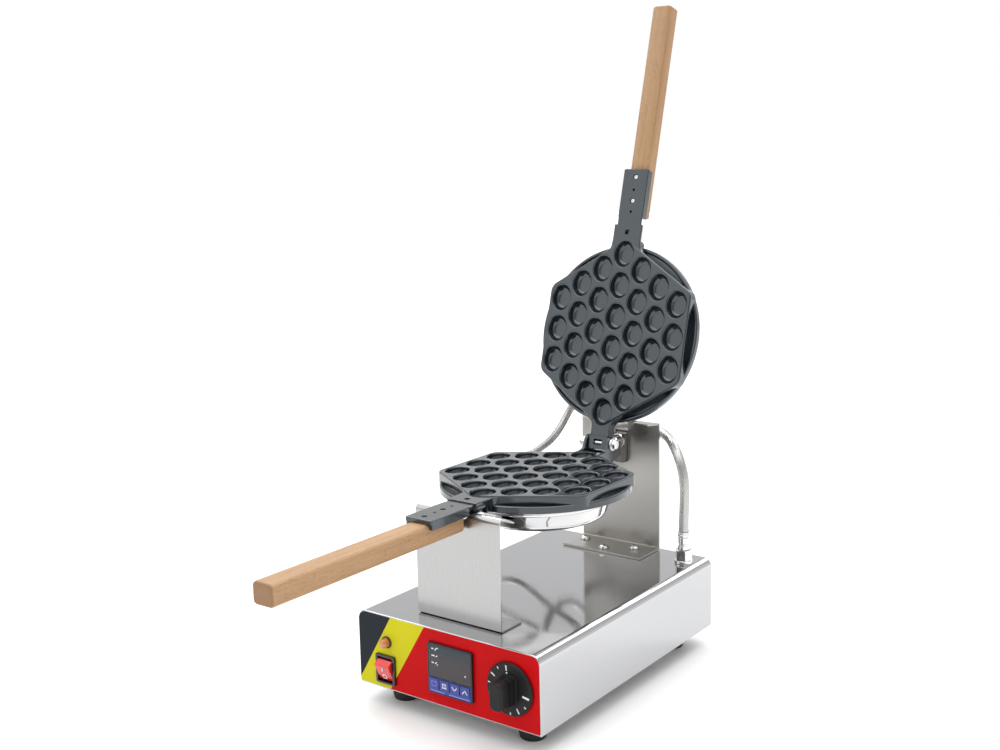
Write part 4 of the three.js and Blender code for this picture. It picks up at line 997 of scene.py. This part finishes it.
def casting_body():
    hexo = [(0, -101.7, 12), (87, -47, 12), (87, 47, 12), (0, 101.7, 12), (-87, 47, 12), (-87, -47, 12)]
    plate = prism(rounded(hexo, 0, 12), FACE_W, 12.4, 1.5, 0, 6)
    flange = lathe(soft_profile([(0, 11.2), (91.0, 11.2, 0.8), (92.3, 9.0, 0.9), (94.4, 8.9, 0.9), (95.4, 10.0, 0.8), (95.4, 15.6, 0.5), (0, 15.6)], 0, 5), 160)
    r = JOURNAL_R
    root = prism(rounded([(-28, 74), (28, 74), (28, 82, 3), (r, 92.5, 8), (r, 99.4), (-r, 99.4), (-r, 92.5, 8), (-28, 82, 3)], 0, 8), NECK_FACE, 9, 0.9, 0, 4)
    under = brick(-NECK_W, NECK_W, 80, 99, 6, CAST_BACK, 0.5, 0.4)
    j1 = half_round(98, NECK_STEP, NECK_FACE, JOURNAL_R)
    j2 = half_round(NECK_STEP - 1.0, 126, NECK_TOP)
    strap = prism(rect(-NECK_W, NECK_W, 124.6, NECK_END, 1.8, 5), NECK_TOP, 7.1, 0.9, 0.2, 4)
    left = brick(-NECK_W, -11.5, 124.6, NECK_END - 1.4, NECK_TOP + 1.2, 12, 0.9, 0.5)
    right_ = brick(11.5, NECK_W, 124.6, NECK_END - 1.4, NECK_TOP + 1.2, 12, 0.9, 0.5)
    return joined(plate, flange, root, under, j1, j2, strap, left, right_)


def cups_and_holes(body):
    holes = [cylinder("z", 2.7, 0, 10, 0, 169.7, 28), cylinder("z", 1.5, 0, 10, 0, 155.5, 20), cylinder("z", 2.7, 0, 10, 0, 143.7, 28), cylinder("z", 1.5, 0, 10, 0, 131.5, 20)]
    return cut(body, cup_tools(), together(*holes), prism(rect(-2.8, 2.8, 106.4, 111.6, 1.6, 5), -1, 5.2))


HV = -HINGE_R
blank = casting_body()
hw = -HINGE_UP


def lug(x0, x1):
    side = rounded([(HV + 26, CAST_BACK), (HV + 30, FACE_W + 0.4), (HV + 12, FACE_W, 6), (HV + 5, hw - 6.2), (HV - 5, hw - 6.2), (HV - 9.6, hw + 1), (HV - 18, hw + 1, 1.2), (HV - 18, 9, 1.5), (HV + 4, CAST_BACK)], 0, 6)
    return joined(cylinder("x", 8, x0, x1, HV, hw, 48, 0.7), along_x(side, x0, x1, 0.6, 0.6, 3))


lower = joined(blank, lug(11.9, 15.4), lug(-15.4, -11.9), brick(-15.4, 15.4, HV - 18, HV - 9.6, hw - 0.4, 9, 1.0, 0.6))
lower = cut(
    cups_and_holes(lower),
    cylinder("x", 3.3, -20, 20, HV, hw, 24),
    cylinder("y", 5.3, HV - 25, HV - 11.2, 0, 0, 32),
    brick(-11.9, 11.9, HV - 9.6, HV + 10.2, -20, 8.6, 1.0, 0),
)
piece("lower_plate", lower, "lower_mould", CAST, place=LOWER, stands="lower_casting", sharp=38)
knuckle = joined(
    cut(cylinder("x", 8.3, -11.4, 11.4, HV, HINGE_UP, 48, 0.8), brick(-14, 14, HV - 10, HV + 10, -5, 0.7)),
    prism(rounded([(-24, -80), (24, -80), (24, -88), (11.4, -97, 8), (11.4, HV), (-11.4, HV), (-11.4, -97, 8), (-24, -88)], 0, 6), 2.2, HINGE_UP + 8, 1.0, 0.8, 4),
)
upper = cut(cups_and_holes(joined(blank, knuckle)), cylinder("x", 3.3, -20, 20, HV, HINGE_UP, 24), prism(rect(-5.2, 5.2, HV - 2.6, HV + 3.4, 1.0, 4), -10, HINGE_UP))
piece("upper_plate", upper, "upper_mould", CAST, place=UPPER, stands="upper_casting", sharp=38)

# ------------------------------------------------------------------ pans, handles, screws, glands
pan_profile = soft_profile(
    [(91, 15.7), (91, 16.9, 0.4), (77.6, 16.9, 1.6), (75.6, 21.0), (75.2, 22.4), (74.6, 22.9, 0.4), (74.4, 24.3, 0.4), (74.6, 25.0), (72.6, 29.8), (68.9, 41.8, 9.0), (12, 41.8, 1.0), (11, 41.2, 0.8), (3.2, 41.2),
     (3.2, 40.2), (11, 40.2), (61.6, 40.8), (67.8, 40.0, 7.0), (71.6, 29.8), (76, 15.7)], 0, 6)
pan_blank = lathe(pan_profile, 128, wrap=True)


def rod_at(r, angle, near, far, w, n=32):
    return put(cylinder("y", r, near, far, 0, w, n), turn(angle, "Z"))


def mould_parts(side, place, body, ports):
    tools = [rod_at(r, deg, -84, -62, 30.6) for _, deg, r in ports]
    vent = put(brick(-6, 6, 60, 80, 25.1, 28.1, 0.2, 0), turn(-14, "Z"))
    piece(f"{side}_pan_shell", cut(pan_blank, *tools, vent), body, PAN, place=place, stands=f"{side}_pan", sharp=30)
    for nm, deg, r in ports:
        q = r - 0.3
        g = joined(
            lathe(soft_profile([(0, -3), (q, -3, 0.3), (q, 3.3), (q + 2.4, 3.3, 0.2), (q + 2.4, 4.4, 0.3), (q + 0.9, 4.6), (q + 0.9, 9.0), (q + 0.4, 9.8, 0.4), (q + 0.2, 11.2, 0.4), (q - 0.3, 11.8, 0.3), (q - 0.3, 13.2, 0.3), (q + 0.25, 13.8, 0.4), (q + 0.25, 15.3, 0.4), (0, 15.3)], 0, 4), 40),
            hex_nut((q + 2.6) * math.sqrt(3) * 0.985, 4.3, 8.9, 0),
        )
        g = put(facing("-y", g, (0, -72.4, 30.6)), turn(deg, "Z"))
        piece(nm + "_nut", g, body, BRIGHT, place=place, stands=nm)
    s = domed_screw(6.4, 42.0, 3.5, 2.6, 22)
    piece(f"{side}_centre_screw", s, body, BRIGHT, place=place, stands=f"{side}_pan_screw")
    h, wa, wb = 11.25, 7.4, 26.6
    section = rounded([(-h, wa, 4.2), (h, wa, 4.2), (h, wb, 4.2), (-h, wb, 4.2)], 0, 7)
    bar_ = along_y(section, 127.9, 360.8, 1.6, 2.4, 5)
    bar_ = cut(bar_, together(*[cylinder("z", 2.1, 0, 20, 0, v, 20) for v in (169.7, 143.7)]))
    piece(f"{side}_grip", bar_, body, WOOD[side], place=place, stands=f"{side}_handle", own=bar_[0] + (np.array([0, 0, 0]) if side == "lower" else np.array([41.0, 300.0, 17.0])))
    for i, v in enumerate((169.7, 143.7)):
        head = lathe(soft_profile([(0, 4.0), (2.4, 4.0, 0.5), (2.4, 5.8, 0.3), (1.8, 6.6), (1.8, 19.4), (0, 19.4)], 0, 4), 28)
        head = cut(head, cross_slot(0.6, 1.5, 3.0, 4.9))
        piece(f"{side}_grip_screw_{i + 1}", put(head, shift(0, v, 0)), body, BRIGHT, place=place, stands=f"{side}_handle_screw_{i + 1}")


mould_parts("lower", LOWER, "lower_mould", [("lower_feed_gland", -32.3, 5.6), ("lower_jumper_gland", -9.7, 5.0)])
mould_parts("upper", UPPER, "upper_mould", [("upper_jumper_gland", 35, 5.0)])

# ------------------------------------------------------------------ hinge bolt and flip shaft
hinge = LOWER @ shift(0, HV, hw) @ turn(90, "Y")
bolt = joined(
    lathe(soft_profile([(0, -24.5), (2.5, -24.5), (3.0, -24.0), (3.0, 17.6), (0, 17.6)], 0, 2), 32),
    lathe(soft_profile([(0, 17.15), (4.6, 17.15, 0.1), (4.6, 17.5), (0, 17.5)], 0, 2), 40),
    hex_nut(8.66, 17.4, 20.9, 0, 12, low=False),
)
piece("hinge_bolt_bright", bolt, "lower_mould", BRIGHT, place=hinge, stands="hinge_bolt")
piece("hinge_washer_bright", lathe(soft_profile([(3.3, 15.6), (6.8, 15.6, 0.3), (6.8, 17.0, 0.3), (3.3, 17.0)], 0, 3), 40, wrap=True), "lower_mould", BRIGHT, place=hinge, stands="hinge_washer")
piece("hinge_nut_bright", hex_nut(9.7, -22.4, -15.8, 3.1, 20), "lower_mould", BRIGHT, place=hinge, stands="hinge_nut")
shaft = lathe(soft_profile([(0, HV - 61), (4.2, HV - 61), (5.0, HV - 60.2), (5.0, HV - 11.6, 0.4), (0, HV - 11.6)], 0, 3), 48)
piece("flip_shaft_bright", oriented(shaft[0][:, [0, 2, 1]], shaft[1]), "lower_mould", BRIGHT, place=LOWER, stands="flip_shaft")
collar = lathe(soft_profile([(5.2, HV - 37.9), (8.2, HV - 37.9, 0.5), (8.2, HV - 34, 0.5), (5.2, HV - 34)], 0, 3), 48, wrap=True)
piece("shaft_collar", oriented(collar[0][:, [0, 2, 1]], collar[1]), "lower_mould", BRIGHT, place=LOWER, stands="flip_shaft_collar")
snut = hex_nut(14.2, HV - 59.5, HV - 53.4, 5.15, 10)
piece("shaft_nut", oriented(snut[0][:, [0, 2, 1]], snut[1]), "lower_mould", BRIGHT, place=LOWER, stands="flip_shaft_nut")

# ------------------------------------------------------------------ pieces that keep their CAD shape, inside the base and under the castings
element = steel("steel_element", (0.28, 0.25, 0.22), 0.45, (0.4, 0.4, 0.4), coords="object")
inside = {
    "controller_case": plastic("plastic_black_case", lin(30, 31, 34), 0.45, coords="object"),
    "timer_case": plastic("plastic_brown_case", lin(48, 34, 28), 0.45, coords="object"),
    "timer_shaft": bright("brass_shaft", (0.72, 0.55, 0.28), 0.25, coords="object"),
    "terminal_block": plastic("plastic_cream", lin(216, 212, 202), 0.45, coords="object"),
    "solid_state_relay": plastic("plastic_black_relay", lin(30, 31, 34), 0.4, coords="object"),
    "lower_heating_element": element,
    "upper_heating_element": element,
}
for node, material in inside.items():
    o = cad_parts[node]
    o.data.materials.clear()
    o.data.materials.append(material)

# ------------------------------------------------------------------ floor and light
def studio_floor():
    p = Paint("floor_pale", "object")
    g = p.noise(0.004, detail=2)
    c = p.mix(p.span(g, 0.3, 0.7), (0.86, 0.86, 0.865), (0.89, 0.89, 0.89))
    return p.done(Base_Color=c, Roughness=0.9, Specular=0.1)


me = bpy.data.meshes.new("floor")
me.from_pydata([(-8, -8, 0), (8, -8, 0), (8, 8, 0), (-8, 8, 0)], [], [[0, 1, 2, 3]])
me.materials.append(studio_floor())
floor = bpy.data.objects.new("floor", me)
bpy.context.scene.collection.objects.link(floor)

world = bpy.data.worlds.new("studio")
bpy.context.scene.world = world
world.use_nodes = True
wt = world.node_tree
wt.nodes.clear()


def world_node(kind, inputs, **props):
    n = wt.nodes.new(kind)
    for k, v in props.items():
        setattr(n, k, v)
    for k, v in inputs.items():
        if isinstance(v, bpy.types.NodeSocket):
            wt.links.new(v, n.inputs[k])
        else:
            n.inputs[k].default_value = v
    return n


def levels(value, stops):
    """Grey ramp over a value from 0 to 1."""
    n = world_node("ShaderNodeValToRGB", {0: value})
    r = n.color_ramp
    for k, (at, g) in enumerate(stops):
        e = r.elements[k] if k < 2 else r.elements.new(at)
        e.position, e.color = at, (g, g, g, 1)
    return n.outputs[0]


way = world_node("ShaderNodeTexCoord", {}).outputs["Generated"]
height = world_node("ShaderNodeSeparateXYZ", {0: way}).outputs[2]
height = world_node("ShaderNodeMath", {0: height, 1: 0.5, 2: 0.5}, operation="MULTIPLY_ADD").outputs[0]
to_front = world_node("ShaderNodeVectorMath", {0: way, 1: (-0.507, -0.862, 0.0)}, operation="DOT_PRODUCT").outputs["Value"]
to_front = world_node("ShaderNodeMapRange", {0: to_front, 1: 0.15, 2: 0.72, 3: 0.0, 4: 1.0}, interpolation_type="SMOOTHSTEP").outputs[0]
behind = levels(height, [(0.0, 1.0), (1.0, 1.1), (0.585, 1.0), (0.63, 0.84), (0.70, 0.74), (0.80, 0.70), (0.90, 0.9)])
before = levels(height, [(0.0, 0.9), (1.0, 1.1), (0.50, 0.60), (0.53, 0.34), (0.62, 0.24), (0.78, 0.30), (0.90, 0.8)])
grey = world_node("ShaderNodeMix", {0: to_front, 6: behind, 7: before}, data_type="RGBA").outputs[2]
bg = world_node("ShaderNodeBackground", {"Color": grey, "Strength": 1.0})
world_node("ShaderNodeOutputWorld", {0: bg.outputs[0]})


def sun(name, towards, strength, angle):
    l = bpy.data.lights.new(name, "SUN")
    l.energy, l.angle = strength, math.radians(angle)
    o = bpy.data.objects.new(name, l)
    o.rotation_mode = "QUATERNION"
    o.rotation_quaternion = Vector(towards).to_track_quat("Z", "Y")
    bpy.context.scene.collection.objects.link(o)


sun("overhead", (0.05, 0.05, 1.0), 1.6, 75)
sun("front", (-0.50, -0.62, 0.62), 0.95, 60)
sun("left", (-0.62, 0.45, 0.64), 0.75, 30)
sun("rear", (0.02, 0.80, 0.60), 0.5, 24)

scene = bpy.context.scene
scene.view_settings.view_transform = "Standard"
scene.view_settings.look = "None"
scene.view_settings.exposure = 0.0
